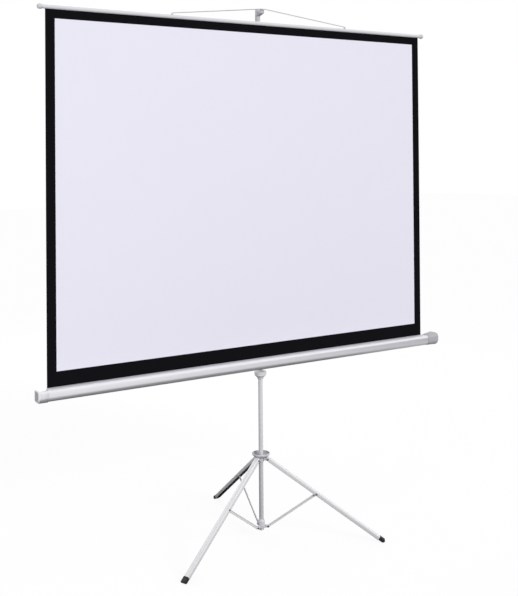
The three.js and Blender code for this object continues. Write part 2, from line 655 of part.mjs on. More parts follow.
// Case, roller, fabric, top bar and bail, about the fabric's middle
function buildScreen() {
  const screen = new THREE.Group();
  screen.position.x = SCREEN_OFFSET;
  model.add(screen);
  const slotBack = fabricY + SLOT_WIDTH / 2;
  const past = shellHalf + CUT;
  const slot = block([-past, slotBack - SLOT_WIDTH, slotZ - 2 * CASE_WALL], [past, slotBack, slotZ + CUT]);
  const inside = alongX(caseOutline(-CASE_WALL), -past, past);
  const shell = alongX(caseOutline(0), -shellHalf, shellHalf).subtract(inside).subtract(slot);
  piece(screen, "case_shell", shell, silver);

  const holeEnd = shellHalf + SPINDLE_SEAT + 2 * CLEARANCE;
  const spindleHole = turnedX(rod(SPINDLE_RADIUS + CLEARANCE, shellHalf - CUT, holeEnd), rollerY, caseZ);
  const leftCap = endCap(LEFT_NOSE, LEFT_BEVEL).subtract(spindleHole).mirror([1, 0, 0]);
  const rightCap = endCap(RIGHT_NOSE, RIGHT_BEVEL, RIGHT_FLARE, RIGHT_LIFT).subtract(spindleHole);
  piece(screen, "case_cap_left", leftCap, greyPlastic);
  piece(screen, "case_cap_right", rightCap, greyPlastic);

  const rollerBore = ROLLER_RADIUS - ROLLER_WALL;
  const onRoller = (made) => turnedX(made, rollerY, caseZ);
  piece(screen, "roller_tube", onRoller(tube(rollerBore, ROLLER_RADIUS, -rollerHalf, rollerHalf)), steel);
  piece(screen, "roller_wrap", onRoller(tube(wrapInner, wrapOuter, -fabricHalf, fabricHalf)), screenCloth);
  const bushBore = SPINDLE_RADIUS + CLEARANCE;
  const plug = spin([
    [bushBore, rollerHalf - PLUG_LENGTH],
    [rollerBore - CLEARANCE, rollerHalf - PLUG_LENGTH],
    [rollerBore - CLEARANCE, rollerHalf + CLEARANCE],
    [ROLLER_RADIUS, rollerHalf + CLEARANCE],
    [ROLLER_RADIUS, rollerHalf + CLEARANCE + PLUG_FLANGE],
    [bushBore, rollerHalf + CLEARANCE + PLUG_FLANGE],
  ]);
  piece(screen, "roller_plug_right", onRoller(plug), darkPlastic);
  piece(screen, "roller_plug_left", onRoller(plug.mirror([0, 0, 1])), darkPlastic);
  const spindleEnd = shellHalf + SPINDLE_SEAT;
  const gudgeonEnd = -rollerHalf + PLUG_LENGTH + PLUG_FLANGE;
  const gudgeon = onRoller(rod(SPINDLE_RADIUS, -spindleEnd, gudgeonEnd, PIN_SIDES));
  piece(screen, "roller_gudgeon", gudgeon, steel);
  const shaft = onRoller(rod(SPINDLE_RADIUS, spindleEnd - SPRING_SHAFT_LENGTH, spindleEnd, PIN_SIDES));
  piece(screen, "spring_shaft", shaft, steel);
  const springTop = rollerHalf - PLUG_LENGTH - CLEARANCE;
  piece(screen, "roller_spring", onRoller(spring().translate([0, 0, springTop])), steel);

  const sheetTop = barZ - BAR_RADIUS / 2;
  const sheet = block(
    [-fabricHalf, fabricY - FABRIC_THICKNESS / 2, caseZ],
    [fabricHalf, fabricY + FABRIC_THICKNESS / 2, sheetTop],
  );
  piece(screen, "screen_fabric", sheet, screenCloth);

  const slit = block(
    [-barHalf - CUT, fabricY - BAR_SLIT / 2, barZ - BAR_RADIUS - CUT],
    [barHalf + CUT, fabricY + BAR_SLIT / 2, barZ],
  );
  const bar = turnedX(tube(BAR_RADIUS - BAR_WALL, BAR_RADIUS, -barHalf, barHalf), fabricY, barZ);
  piece(screen, "top_bar", bar.subtract(slit), white);
  const ball = spin([
    ...[...Array(BALL_STEPS + 1).keys()].map((i) => {
      const angle = (i / BALL_STEPS) * (Math.PI - Math.asin((BAR_RADIUS + BALL_MOUTH_WALL) / BALL_RADIUS));
      return [BALL_RADIUS * Math.sin(angle), barHalf + BALL_RADIUS * Math.cos(angle)];
    }),
    [BAR_RADIUS + CLEARANCE, barHalf - BALL_SOCKET],
    [BAR_RADIUS + CLEARANCE, barHalf + CLEARANCE],
    [0, barHalf + CLEARANCE],
  ]);
  piece(screen, "bar_cap_right", turnedX(ball, fabricY, barZ), darkPlastic);
  piece(screen, "bar_cap_left", turnedX(ball, fabricY, barZ).mirror([1, 0, 0]), darkPlastic);
  buildBail(screen);
}

// An end cap: a sleeve over the shell and a rounded nose beyond it, drawn for the right-hand end.
function endCap(nose, bevel, flare = 0, lift = 0) {
  const wall = CLEARANCE + CAP_WALL;
  const tip = shellHalf + nose;
  const from = shellHalf - bevel - CLEARANCE;
  const body = new THREE.ExtrudeGeometry(caseOutline(wall + flare, lift), {
    depth: tip - from - 2 * bevel,
    curveSegments: CORNER_STEPS,
    bevelThickness: bevel,
    bevelSize: bevel,
    bevelOffset: -bevel,
    bevelSegments: NOSE_STEPS,
  });
  const nosePiece = solid(body.applyMatrix4(ontoX).translate(from + bevel, 0, 0));
  const sleeve = alongX(caseOutline(wall), shellHalf - CAP_OVERLAP, shellHalf + CLEARANCE);
  const room = alongX(caseOutline(CLEARANCE), shellHalf - CAP_OVERLAP - CUT, shellHalf + CLEARANCE);
  return nosePiece.add(sleeve).subtract(room);
}

// The roller's spring, wound on its shaft from the height 0 downwards.
function spring() {
  const radius = (SPINDLE_RADIUS + CLEARANCE + SPRING_WIRE_RADIUS) / Math.cos(Math.PI / SPRING_STEPS);
  class Coil extends THREE.Curve {
    getPoint(share) {
      const angle = share * SPRING_TURNS * 2 * Math.PI;
      const height = -SPRING_WIRE_RADIUS - share * SPRING_TURNS * SPRING_PITCH;
      return new THREE.Vector3(radius * Math.cos(angle), radius * Math.sin(angle), height);
    }
  }
  const round = new THREE.Shape().absarc(0, 0, SPRING_WIRE_RADIUS, 0, 2 * Math.PI);
  const settings = {
    steps: SPRING_TURNS * SPRING_STEPS,
    curveSegments: SPRING_WIRE_STEPS,
    extrudePath: new Coil(),
  };
  return solid(new THREE.ExtrudeGeometry(round, settings));
}

// The bail: a wire from eyelet to eyelet, drawn back at the top into a tongue over the hook's lip.
function buildBail(screen) {
  const middle = -SCREEN_OFFSET;
  const footZ = barZ + BAR_RADIUS + CLEARANCE + EYELET_HEIGHT;
  const backY = fabricY + TONGUE_REACH;
  const right = [
    [TONGUE_HALF_WIDTH, backY, apexZ - TONGUE_DROP],
    [TONGUE_HALF_WIDTH, backY, apexZ],
    [TONGUE_HALF_WIDTH, fabricY, apexZ],
    [BAIL_HALF_SPAN, fabricY, footZ + BAIL_WIRE_RADIUS],
    [BAIL_HALF_SPAN, fabricY, footZ - BAIL_FOOT_LENGTH + BAIL_WIRE_RADIUS],
  ];
  const left = right.map(([x, y, z]) => [-x, y, z]).reverse();
  const bail = wire([...left, ...right], BAIL_WIRE_RADIUS).translate([middle, 0, 0]);
  piece(screen, "bail", bail, steel);
  const seat = barZ + BAR_RADIUS + CLEARANCE;
  const eyelet = tube(BAIL_WIRE_RADIUS + CLEARANCE, EYELET_RADIUS, barZ, seat + EYELET_HEIGHT)
    .subtract(turnedX(rod(BAR_RADIUS + CLEARANCE, -EYELET_RADIUS - CUT, EYELET_RADIUS + CUT), 0, barZ));
  for (const [side, way] of [["left", -1], ["right", 1]]) {
    const placed = eyelet.translate([middle + way * BAIL_HALF_SPAN, fabricY, 0]);
    piece(screen, `bail_eyelet_${side}`, placed, darkPlastic);
  }
}

buildStand();
buildRiser();
buildMast();
buildScreen();

// The part's frame: on the floor, under the middle of the whole.
const box = new THREE.Box3().setFromObject(model);
const centre = box.getCenter(new THREE.Vector3());
model.position.set(-centre.x, -centre.y, -box.min.z);
const screenStand = new THREE.Group();
screenStand.add(model);

export default screenStand;
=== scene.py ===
import json
from math import acos, atan2, cos, hypot, pi, radians, sin

import bmesh
import bpy
from mathutils import Euler, Matrix, Vector


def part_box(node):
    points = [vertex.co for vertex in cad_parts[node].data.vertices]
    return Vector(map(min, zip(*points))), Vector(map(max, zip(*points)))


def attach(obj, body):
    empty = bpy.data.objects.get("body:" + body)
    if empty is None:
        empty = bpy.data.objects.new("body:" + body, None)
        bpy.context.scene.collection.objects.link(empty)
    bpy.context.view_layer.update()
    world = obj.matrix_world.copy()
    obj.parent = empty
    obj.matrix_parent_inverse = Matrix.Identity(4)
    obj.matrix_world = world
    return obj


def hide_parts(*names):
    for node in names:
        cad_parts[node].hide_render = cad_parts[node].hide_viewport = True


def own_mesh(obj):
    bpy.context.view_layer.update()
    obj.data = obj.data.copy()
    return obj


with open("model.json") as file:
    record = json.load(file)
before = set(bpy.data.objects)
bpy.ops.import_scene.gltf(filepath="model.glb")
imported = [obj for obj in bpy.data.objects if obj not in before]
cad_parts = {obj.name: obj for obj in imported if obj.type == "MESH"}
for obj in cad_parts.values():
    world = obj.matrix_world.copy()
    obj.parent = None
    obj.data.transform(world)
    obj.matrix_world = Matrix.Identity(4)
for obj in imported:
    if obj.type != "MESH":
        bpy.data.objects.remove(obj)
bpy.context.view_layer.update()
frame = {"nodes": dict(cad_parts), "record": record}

# Sizes, in metres, that the frame doesn't give by itself
MM = 0.001
VIEW_WIDTH = 2.032
VIEW_HEIGHT = 1.524
BOTTOM_BORDER = 0.065
CLOTH_THICKNESS = 0.0006
CLOTH_WAVE = 0.0011
CLOTH_WAVES = 1.5
WEAVE_PITCH = 0.0045
LEG_LENGTH = 0.660
LEG_HEAD = 0.009
LEG_WIDTH = 0.024
LEG_BACK = 0.0097
LEG_LIP = 0.0083
LEG_WALL = 0.0012
STRAP_WIDTH = 0.012
STRAP_THICKNESS = 0.004
BOOT_PROUD = 0.0008
BOOT_DEPTH = 0.016
BOOT_HEEL = 0.022
BOOT_SOLE = 0.010
BOOT_SHANK = 0.024
CASE_WALL = 1.5 * MM
CASE_TOP_RADIUS = 0.013
CASE_FOOT_RADIUS = 0.024
CASE_BACK_RADIUS = 0.008
SLOT_HALF = 2.5 * MM
CAP_WALL = 0.0023
CAP_OVERLAP = 0.030
TUBE_WALL = 1.0 * MM
POST_BORE = 11.3 * MM
LUG_REACH = 6 * MM
LUG_ROUND = 5.9 * MM
BAR_WALL = 1.4 * MM
BAIL_RADIUS = 2.2 * MM
BAIL_BEND = 7 * MM
PLAY = 0.3 * MM
PIN_EDGE = 0.15 * MM
TUBE_EDGE = 0.3 * MM
EDGE = 0.4 * MM
RUBBER_EDGE = 0.6 * MM
BLOCK_EDGE = 1.2 * MM
SIDES = ("right", "rear", "left")
ROUND = 64
SMALL_ROUND = 32

# Studio: angles in degrees, places in metres
KEY_PLACE = (1.0, -6.0, 3.0)
KEY_RISE = 26
KEY_TURN = 10
KEY_SPREAD = 20
KEY_STRENGTH = 1.6
BACK_LAMP_PLACE = (0.5, 4.5, 4.0)
BACK_LAMP_AIM = (0, 0, 1.2)
BACK_LAMP_SIZE = 3.0
BACK_LAMP_WATTS = 60
SKY_STRENGTH = 0.66
SKY_TINT = (0.98, 0.98, 1.0, 1)
WHITE = (1, 1, 1, 1)
FLOOR_SIZE = 60
FLOOR_GLOW = 0.88
FLOOR_NEAR = 1.2
FLOOR_FAR = 3.2
FLOOR_MIDDLE = 0.5
FLOOR_RIGHT = 4.5
# Floor colours for bounce light and reflections: dark near the stand as a painted shadow, pale further
# off, dimmer off to the right as painted shade
FLOOR_PAINTED_SHADOW = (0.04, 0.04, 0.041, 1)
FLOOR_PALE = (0.85, 0.85, 0.86, 1)
FLOOR_RIGHT_PAINTED_SHADE = (0.12, 0.12, 0.122, 1)
CAMERA_FROM_MAST = (-2.48474, -3.95708)
CAMERA_HEIGHT = 1.89497
CAMERA_YAW = 32.155
CAMERA_PITCH = 0.62
CAMERA_ROLL = -0.445
CAMERA_LENS = 56.728
CAMERA_SHIFT = -0.2564
FILM_HEIGHT = 36
PHOTO_WIDTH = 518
PHOTO_HEIGHT = 596

# Places from the frame
tube_low, tube_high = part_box("tripod_tube")
MAST_X = (tube_low.x + tube_high.x) / 2
MAST_Y = (tube_low.y + tube_high.y) / 2
cloth_low, cloth_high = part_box("screen_fabric")
CLOTH_X = (cloth_low.x + cloth_high.x) / 2
CLOTH_Y = (cloth_low.y + cloth_high.y) / 2
CLOTH_WIDTH = cloth_high.x - cloth_low.x
CLOTH_HEIGHT = cloth_high.z - cloth_low.z
case_low, case_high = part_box("case_shell")
CASE_Z = (case_low.z + case_high.z) / 2
bar_low, bar_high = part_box("top_bar")
BAR_RADIUS = (bar_high.y - bar_low.y) / 2
BAR_Z = bar_high.z - BAR_RADIUS
roller_low, roller_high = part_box("roller_tube")
ROLLER_Y = (roller_low.y + roller_high.y) / 2


def from_mast(node):
    """The middle of a node, from the mast's axis."""
    low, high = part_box(node)
    return (low + high) / 2 - Vector((MAST_X, MAST_Y, 0))


def azimuth_of(side):
    pin = from_mast(f"hub_pin_{side}")
    return atan2(pin.y, pin.x)


hub_pivot = from_mast("hub_pin_rear")
leg_pivot = from_mast("leg_pin_rear")
HUB_Z = hub_pivot.z
COLLAR_Z = from_mast("collar_pin_rear").z
PIVOT_RADIUS = hypot(hub_pivot.x, hub_pivot.y)
out_to_pin = hypot(leg_pivot.x, leg_pivot.y) - PIVOT_RADIUS
SPREAD = atan2(out_to_pin, HUB_Z - leg_pivot.z)
LINK_LENGTH = hypot(out_to_pin, HUB_Z - leg_pivot.z)
AZIMUTHS = {side: azimuth_of(side) for side in SIDES}


# Shader maths


class Shade:
    """A shader socket that Python's operators work on: each adds a Math node."""

    def __init__(self, tree, socket):
        self.tree = tree
        self.socket = socket

    def math(self, operation, *values):
        node = self.tree.nodes.new("ShaderNodeMath")
        node.operation = operation
        for socket, value in zip(node.inputs, values):
            feed(self.tree, socket, value)
        return Shade(self.tree, node.outputs[0])

    def __add__(self, other):
        return self.math("ADD", self, other)

    __radd__ = __add__

    def __sub__(self, other):
        return self.math("SUBTRACT", self, other)

    def __rsub__(self, other):
        return self.math("SUBTRACT", other, self)

    def __mul__(self, other):
        return self.math("MULTIPLY", self, other)

    __rmul__ = __mul__

    def __gt__(self, other):
        return self.math("GREATER_THAN", self, other)

    def __lt__(self, other):
        return self.math("LESS_THAN", self, other)

    def __abs__(self):
        return self.math("ABSOLUTE", self)

    def beside(self, output):
        """Another output of the same node."""
        return Shade(self.tree, self.socket.node.outputs[output])


def feed(tree, socket, value):
    if isinstance(value, Shade):
        tree.links.new(value.socket, socket)
    else:
        socket.default_value = value


class Nodes:
    """A tree of shader nodes."""

    def __init__(self, tree):
        self.tree = tree

    def node(self, kind, sockets=None, output=0, **settings):
        node = self.tree.nodes.new("ShaderNode" + kind)
        for name, value in settings.items():
            setattr(node, name, value)
        for socket, value in (sockets or {}).items():
            feed(self.tree, node.inputs[socket], value)
        return Shade(self.tree, node.outputs[output])

    def show(self, shader, output):
        """Send a shader to the tree's output node."""
        feed(self.tree, self.tree.nodes[output].inputs["Surface"], shader)


class Finish(Nodes):
    """A material of nodes round one Principled shader."""

    def __init__(self, name, **fixed):
        self.material = bpy.data.materials.new(name)
        self.material.use_nodes = True
        super().__init__(self.material.node_tree)
        self.shader = self.tree.nodes["Principled BSDF"]
        for socket, value in fixed.items():
            self.shader.inputs[socket.replace("_", " ")].default_value = value

    def place(self, stretch=(1, 1, 1)):
        here = self.node("TexCoord", output=3)
        return self.node("Mapping", {"Vector": here, "Scale": stretch})

    def noise(self, scale, detail=3.0, stretch=(1, 1, 1)):
        return self.node("TexNoise", {"Vector": self.place(stretch), "Scale": scale, "Detail": detail})

    def mix(self, factor, first, second):
        return self.node("Mix", {0: factor, 6: first, 7: second}, output=2, data_type="RGBA")

    def colour(self, value):
        feed(self.tree, self.shader.inputs["Base Color"], value)

    def rough(self, value):
        feed(self.tree, self.shader.inputs["Roughness"], value)

    def bump(self, height, distance, strength):
        bumped = self.node("Bump", {"Height": height, "Distance": distance, "Strength": strength})
        feed(self.tree, self.shader.inputs["Normal"], bumped)


def shade_of(colour, factor):
    return (*(min(1.0, part * factor) for part in colour[:3]), 1.0)


def powder_coat(name, colour):
    """Pale paint baked on to steel: faint clouds, a soft orange peel and a few dull rubs."""
    paint = Finish(name, Metallic=0.0, Coat_Weight=0.1, Coat_Roughness=0.35)
    clouds = paint.noise(9.0)
    rubs = paint.noise(40.0, stretch=(1, 1, 0.12))
    paint.colour(paint.mix(clouds, shade_of(colour, 0.97), shade_of(colour, 1.02)))
    paint.rough(0.4 + 0.1 * rubs)
    paint.bump(paint.noise(150.0, detail=2.0), distance=0.00002, strength=0.05)
    return paint.material


def drawn_aluminium(name, colour, metallic, roughness):
    """Satin aluminium with the fine lines of its drawing die."""
    metal = Finish(name, Metallic=metallic)
    lines = metal.noise(500.0, detail=4.0, stretch=(0.02, 1, 1))
    clouds = metal.noise(5.0)
    metal.colour(metal.mix(0.6 * lines + 0.4 * clouds, shade_of(colour, 0.95), shade_of(colour, 1.03)))
    metal.rough(roughness + 0.12 * lines)
    metal.bump(lines, distance=0.00002, strength=0.06)
    return metal.material


def moulded_plastic(name, colour, roughness):
    """Moulded plastic with a spark-eroded grain."""
    plastic = Finish(name, Metallic=0.0)
    grain = plastic.noise(900.0, detail=2.0)
    clouds = plastic.noise(22.0)
    plastic.colour(plastic.mix(clouds, shade_of(colour, 0.94), shade_of(colour, 1.05)))
    plastic.rough(roughness - 0.06 + 0.12 * grain)
    plastic.bump(grain, distance=0.00003, strength=0.08)
    return plastic.material


def rubber(name, colour):
    """Black rubber, dusty where it is handled."""
    black = Finish(name, Metallic=0.0)
    dust = black.noise(70.0, detail=5.0)
    black.colour(black.mix(dust, colour, shade_of(colour, 2.6)))
    black.rough(0.62 + 0.24 * dust)
    black.bump(black.noise(900.0, detail=2.0), distance=0.0002, strength=0.4)
    return black.material


def bright_steel(name, colour, roughness):
    """Plated steel wire and rivets, with a light draw mark."""
    plated = Finish(name, Metallic=1.0)
    marks = plated.noise(500.0)
    plated.colour(plated.mix(marks, shade_of(colour, 0.86), colour))
    plated.rough(roughness + 0.15 * marks)
    plated.bump(marks, distance=0.00004, strength=0.3)
    return plated.material


def weave_in(cloth):
    """Raise a plain weave on an upright sheet: two sets of ribs that take turns."""
    sockets = {"Vector": cloth.place(), "Scale": 1 / WEAVE_PITCH}
    warp = cloth.node("TexWave", sockets, output=1, bands_direction="X")
    weft = cloth.node("TexWave", sockets, output=1, bands_direction="Z")
    cloth.bump(warp * weft, distance=0.00008, strength=0.3)


def screen_cloth(name, white, black):
    """Matt white cloth with a printed black border all round, woven finely."""
    cloth = Finish(name, Metallic=0.0, Specular_IOR_Level=0.02)
    across = cloth.node("SeparateXYZ", {"Vector": cloth.node("TexCoord", output=2)})
    up = across.beside(1)
    view_low = (case_high.z + BOTTOM_BORDER - cloth_low.z) / CLOTH_HEIGHT
    view_high = view_low + VIEW_HEIGHT / CLOTH_HEIGHT
    inside = abs(across - 0.5) < VIEW_WIDTH / CLOTH_WIDTH / 2
    inside = inside * (up > view_low) * (up < view_high)
    clouds = cloth.noise(2.5, detail=2.0)
    ground = cloth.mix(clouds, shade_of(white, 0.985), white)
    cloth.colour(cloth.mix(inside, black, ground))
    cloth.rough(0.9 - 0.1 * (1 - inside))
    weave_in(cloth)
    return cloth.material


def backing_cloth(name, colour):
    """The cloth's black back."""
    back = Finish(name, Metallic=0.0, Specular_IOR_Level=0.1)
    clouds = back.noise(6.0)
    back.colour(back.mix(clouds, colour, shade_of(colour, 1.7)))
    back.rough(0.72 + 0.1 * clouds)
    weave_in(back)
    return back.material


PALE_PAINT = powder_coat("pale_paint", (0.84, 0.84, 0.85, 1))
# Painted shade: the post's paint is a darker copy of the pale paint, for the post being less lit than
# the legs
POST_SHADED_PAINT = powder_coat("post_shaded_paint", (0.69, 0.69, 0.705, 1))
# Painted shade: a dark colour for the inside of the leg channels, where shadow falls
CHANNEL_PAINTED_SHADE = powder_coat("channel_painted_shade", (0.24, 0.24, 0.25, 1))
CASE_METAL = drawn_aluminium("case_metal", (0.84, 0.84, 0.875, 1), metallic=0.66, roughness=0.31)
# Painted light: a duller, hardly metallic copy of the case metal for the flat top, so it reads lighter
# where the metal would mirror the black cloth
CASE_TOP_PAINTED_LIGHT = drawn_aluminium("case_top_painted_light", (0.84, 0.84, 0.875, 1), metallic=0.1, roughness=0.5)
BAR_METAL = drawn_aluminium("bar_metal", (0.68, 0.68, 0.7, 1), metallic=0.1, roughness=0.5)
ROLLER_METAL = drawn_aluminium("roller_metal", (0.6, 0.6, 0.62, 1), metallic=0.9, roughness=0.36)
GREY_PLASTIC = moulded_plastic("grey_plastic", (0.72, 0.72, 0.75, 1), roughness=0.45)
CAP_PLASTIC = moulded_plastic("cap_plastic", (0.43, 0.43, 0.45, 1), roughness=0.5)
# Painted shade: a darker colour for the left cap's flat end face, which is turned from the key light
END_FACE_PAINTED_SHADE = moulded_plastic("end_face_painted_shade", (0.42, 0.42, 0.43, 1), roughness=0.5)
# Painted shade: a darker colour for the inside of the hub's bowl, where shadow falls
HUB_PAINTED_SHADE = moulded_plastic("hub_painted_shade", (0.45, 0.45, 0.48, 1), roughness=0.5)
# Painted light: a paler copy of the grey plastic for the height cup, to make up for the case's shadow
# on it
CUP_PAINTED_LIGHT = moulded_plastic("cup_painted_light", (0.86, 0.86, 0.88, 1), roughness=0.45)
SOCKET_PLASTIC = moulded_plastic("socket_plastic", (0.68, 0.68, 0.71, 1), roughness=0.45)
HOOK_PLASTIC = moulded_plastic("hook_plastic", (0.48, 0.48, 0.5, 1), roughness=0.45)
DARK_PLASTIC = moulded_plastic("dark_plastic", (0.13, 0.13, 0.14, 1), roughness=0.48)
BALL_PLASTIC = moulded_plastic("ball_plastic", (0.6, 0.6, 0.62, 1), roughness=0.42)
STEEL = bright_steel("bright_steel", (0.42, 0.42, 0.44, 1), roughness=0.3)
WIRE = bright_steel("bail_wire", (0.72, 0.72, 0.74, 1), roughness=0.4)
RUBBER = rubber("black_rubber", (0.012, 0.012, 0.014, 1))
CLOTH = screen_cloth("screen_cloth", white=(0.79, 0.78, 0.87, 1), black=(0.006, 0.006, 0.0075, 1))
CLOTH_BACK = backing_cloth("cloth_back", (0.012, 0.012, 0.014, 1))
SLOT_FINISH = {
    "pale_metal": PALE_PAINT,
    "silver_case": CASE_METAL,
    "white_metal": BAR_METAL,
    "roller_metal": ROLLER_METAL,
    "grey_plastic": GREY_PLASTIC,
    "dark_plastic": DARK_PLASTIC,
    "steel": STEEL,
    "black_rubber": RUBBER,
    "screen_cloth": CLOTH_BACK,
}


# Modelling by operators


def choose(piece):
    """Select one piece alone, and make it the active one."""
    bpy.ops.object.select_all(action="DESELECT")
    bpy.context.view_layer.objects.active = piece
    piece.select_set(True)


def put_in_place():
    """Put the place, turn and scale of the chosen piece into its mesh."""
    bpy.ops.object.transform_apply(location=True, rotation=True, scale=True)


def new_piece(name):
    """The primitive that was just added, with its name and its place in its mesh."""
    piece = bpy.context.object
    piece.name = name
    put_in_place()
    return piece


def edit(piece):
    choose(piece)
    bpy.ops.object.mode_set(mode="EDIT")


def leave():
    bpy.ops.object.mode_set(mode="OBJECT")


def pick(kind, test):
    """Select, in edit mode, the faces or edges whose middle and normal, or way, pass the test."""
    bpy.ops.mesh.select_mode(type=kind)
    bpy.ops.mesh.select_all(action="DESELECT")
    shape = bmesh.from_edit_mesh(bpy.context.object.data)
    for part in shape.faces if kind == "FACE" else shape.edges:
        if kind == "FACE":
            chosen = test(part.calc_center_median(), part.normal)
        else:
            ends = [corner.co for corner in part.verts]
            chosen = test((ends[0] + ends[1]) / 2, (ends[1] - ends[0]).normalized())
        part.select_set(chosen)
    bmesh.update_edit_mesh(bpy.context.object.data)


def pick_all():
    bpy.ops.mesh.select_all(action="SELECT")


def push(x, y, z):
    """Extrude what is selected."""
    bpy.ops.mesh.extrude_region_move(TRANSFORM_OT_translate={"value": (x, y, z)})


def inset(width):
    bpy.ops.mesh.inset(thickness=width)


def bevel(width, segments=8):
    bpy.ops.mesh.bevel(offset=width, segments=segments, affect="EDGES")


def open_faces():
    bpy.ops.mesh.delete(type="FACE")


def face_outwards():
    pick_all()
    bpy.ops.mesh.normals_make_consistent(inside=False)


def apply_modifier(piece, kind, **settings):
    choose(piece)
    modifier = piece.modifiers.new(kind.lower(), kind)
    for name, value in settings.items():
        setattr(modifier, name, value)
    bpy.ops.object.modifier_apply(modifier=modifier.name)


def thicken(piece, wall, offset=-1):
    apply_modifier(piece, "SOLIDIFY", thickness=wall, offset=offset)


def soften(piece, width, segments=2, angle=35):
    apply_modifier(
        piece, "BEVEL", width=width, segments=segments, limit_method="ANGLE", angle_limit=radians(angle)
    )


def settle(piece, place):
    """Move a finished shape to its place, and put the place into its mesh."""
    piece.matrix_world = place @ piece.matrix_world
    choose(piece)
    put_in_place()


def finish(piece, body, slot, material, *nodes, smooth=40):
    """Smooth the piece, give it its finish, and let it ride on its body in place of its nodes."""
    choose(piece)
    bpy.ops.object.shade_smooth_by_angle(angle=radians(smooth))
    piece.data.materials.clear()
    piece.data.materials.append(material)
    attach(piece, body)
    if nodes:
        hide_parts(*nodes)


def paint(piece, material, test):
    """Give a finished piece's chosen faces a second finish."""
    piece.data.materials.append(material)
    for face in piece.data.polygons:
        if test(face.center, face.normal):
            face.material_index = len(piece.data.materials) - 1


def again(piece, name):
    """A copy of a piece, with its own mesh."""
    choose(piece)
    bpy.ops.object.duplicate(linked=False)
    twin = bpy.context.object
    twin.name = name
    return twin


def drop(piece):
    bpy.data.objects.remove(piece, do_unlink=True)


def slab(name, low, high):
    """A box from corner to corner, left in edit mode."""
    bpy.ops.object.select_all(action="DESELECT")
    low, high = Vector(low), Vector(high)
    bpy.ops.mesh.primitive_cube_add(size=1, location=(low + high) / 2, scale=high - low)
    piece = new_piece(name)
    edit(piece)
    return piece


def turned(name, profile, sides=ROUND, hollow=True):
    """A piece turned about Z: a ring that is extruded and scaled along its (radius, height) profile."""
    bpy.ops.object.select_all(action="DESELECT")
    radius, height = profile[0]
    bpy.ops.mesh.primitive_circle_add(vertices=sides, radius=radius, location=(0, 0, height))
    piece = new_piece(name)
    edit(piece)
    bpy.ops.mesh.select_mode(type="VERT")
    pick_all()
    for next_radius, next_height in [*profile[1:], *([profile[0]] if hollow else [])]:
        push(0, 0, next_height - height)
        grow = next_radius / radius
        bpy.ops.transform.resize(value=(grow, grow, 1), center_override=(0, 0, next_height))
        radius, height = next_radius, next_height
    if hollow:
        pick_all()
        bpy.ops.mesh.remove_doubles(threshold=1e-6)
    else:
        for end in (profile[0][1], profile[-1][1]):
            pick("EDGE", lambda middle, way: abs(middle.z - end) < 1e-7 and abs(way.z) < 0.1)
            bpy.ops.mesh.select_mode(type="EDGE")
            bpy.ops.mesh.edge_face_add()
    face_outwards()
    leave()
    return piece


def outlined(name, points, depth):
    """A flat outline of (x, z) points, drawn corner by corner and extruded along Y, in edit mode."""
    bpy.ops.object.select_all(action="DESELECT")
    bpy.ops.mesh.primitive_plane_add(size=depth, location=(points[0][0], -depth / 2, points[0][1]))
    piece = new_piece(name)
    edit(piece)
    bpy.ops.mesh.select_mode(type="VERT")
    pick_all()
    bpy.ops.mesh.merge(type="CENTER")
    for (x, z), (next_x, next_z) in zip(points, points[1:]):
        step = (next_x - x, 0, next_z - z)
        bpy.ops.mesh.extrude_vertices_move(TRANSFORM_OT_translate={"value": step})
    pick_all()
    bpy.ops.mesh.edge_face_add()
    push(0, depth, 0)
    face_outwards()
    return piece


def on_mast(turn=0.0):
    """The mast's axis at the floor, turned about it."""
    return Matrix.Translation((MAST_X, MAST_Y, 0)) @ Matrix.Rotation(turn, 4, "Z")


def lying_x(x, y, z, outward=1):
    """From a piece turned about Z to one that lies along X and looks left or right."""
    turn = Matrix.Rotation(0 if outward > 0 else pi, 4, "Y")
    return Matrix.Translation((x, y, z)) @ Matrix.Rotation(pi / 2, 4, "Y") @ turn


def lying_y(x, y, z):
    return Matrix.Translation((x, y, z)) @ Matrix.Rotation(-pi / 2, 4, "X")


def leg_place(azimuth):
    """From a leg standing folded below its hub pivot to the spread leg."""
    pivot = Matrix.Translation((PIVOT_RADIUS, 0, HUB_Z))
    return on_mast(azimuth) @ pivot @ Matrix.Rotation(-SPREAD, 4, "Y")


def spreader_place(azimuth):
    """From a spreader standing folded above its collar pivot to the spread one."""
    pivot = Matrix.Translation((PIVOT_RADIUS, 0, COLLAR_Z))
    return on_mast(azimuth) @ pivot @ Matrix.Rotation(SPREAD, 4, "Y")


def pivot_lug(name, body, azimuth, root, height, near, far):
    """A plastic lug that reaches out from the mast's axis and ends in a round about a pivot."""
    lug = slab(
        name,
        (root, near, height - LUG_REACH),
        (PIVOT_RADIUS + LUG_REACH, far, height + LUG_REACH),
    )
    pick("EDGE", lambda middle, way: abs(way.y) > 0.9 and middle.x > PIVOT_RADIUS)
    bevel(LUG_ROUND)
    leave()
    soften(lug, EDGE)
    settle(lug, on_mast(azimuth))
    finish(lug, body, "grey_plastic", GREY_PLASTIC)


def grip_ribs(name, count, low, high, edge, body, slot, material):
    """Upright grip ribs round a collar, one modelled and the others copied."""
    model = slab(f"{name}_model", low, high)
    leave()
    soften(model, edge)
    for step in range(count):
        rib = again(model, f"{name}_{step + 1}")
        settle(rib, on_mast(step * 2 * pi / count))
        finish(rib, body, slot, material)
    drop(model)


# Stand


def tube_piece(name, node, body, material=PALE_PAINT):
    """A drawn tube with its rims rounded."""
    low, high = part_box(node)
    outer = (high.y - low.y) / 2
    inner = outer - TUBE_WALL
    piece = turned(name, [(inner, low.z), (outer, low.z), (outer, high.z), (inner, high.z)])
    soften(piece, TUBE_EDGE)
    settle(piece, on_mast())
    finish(piece, body, "pale_metal", material, node)


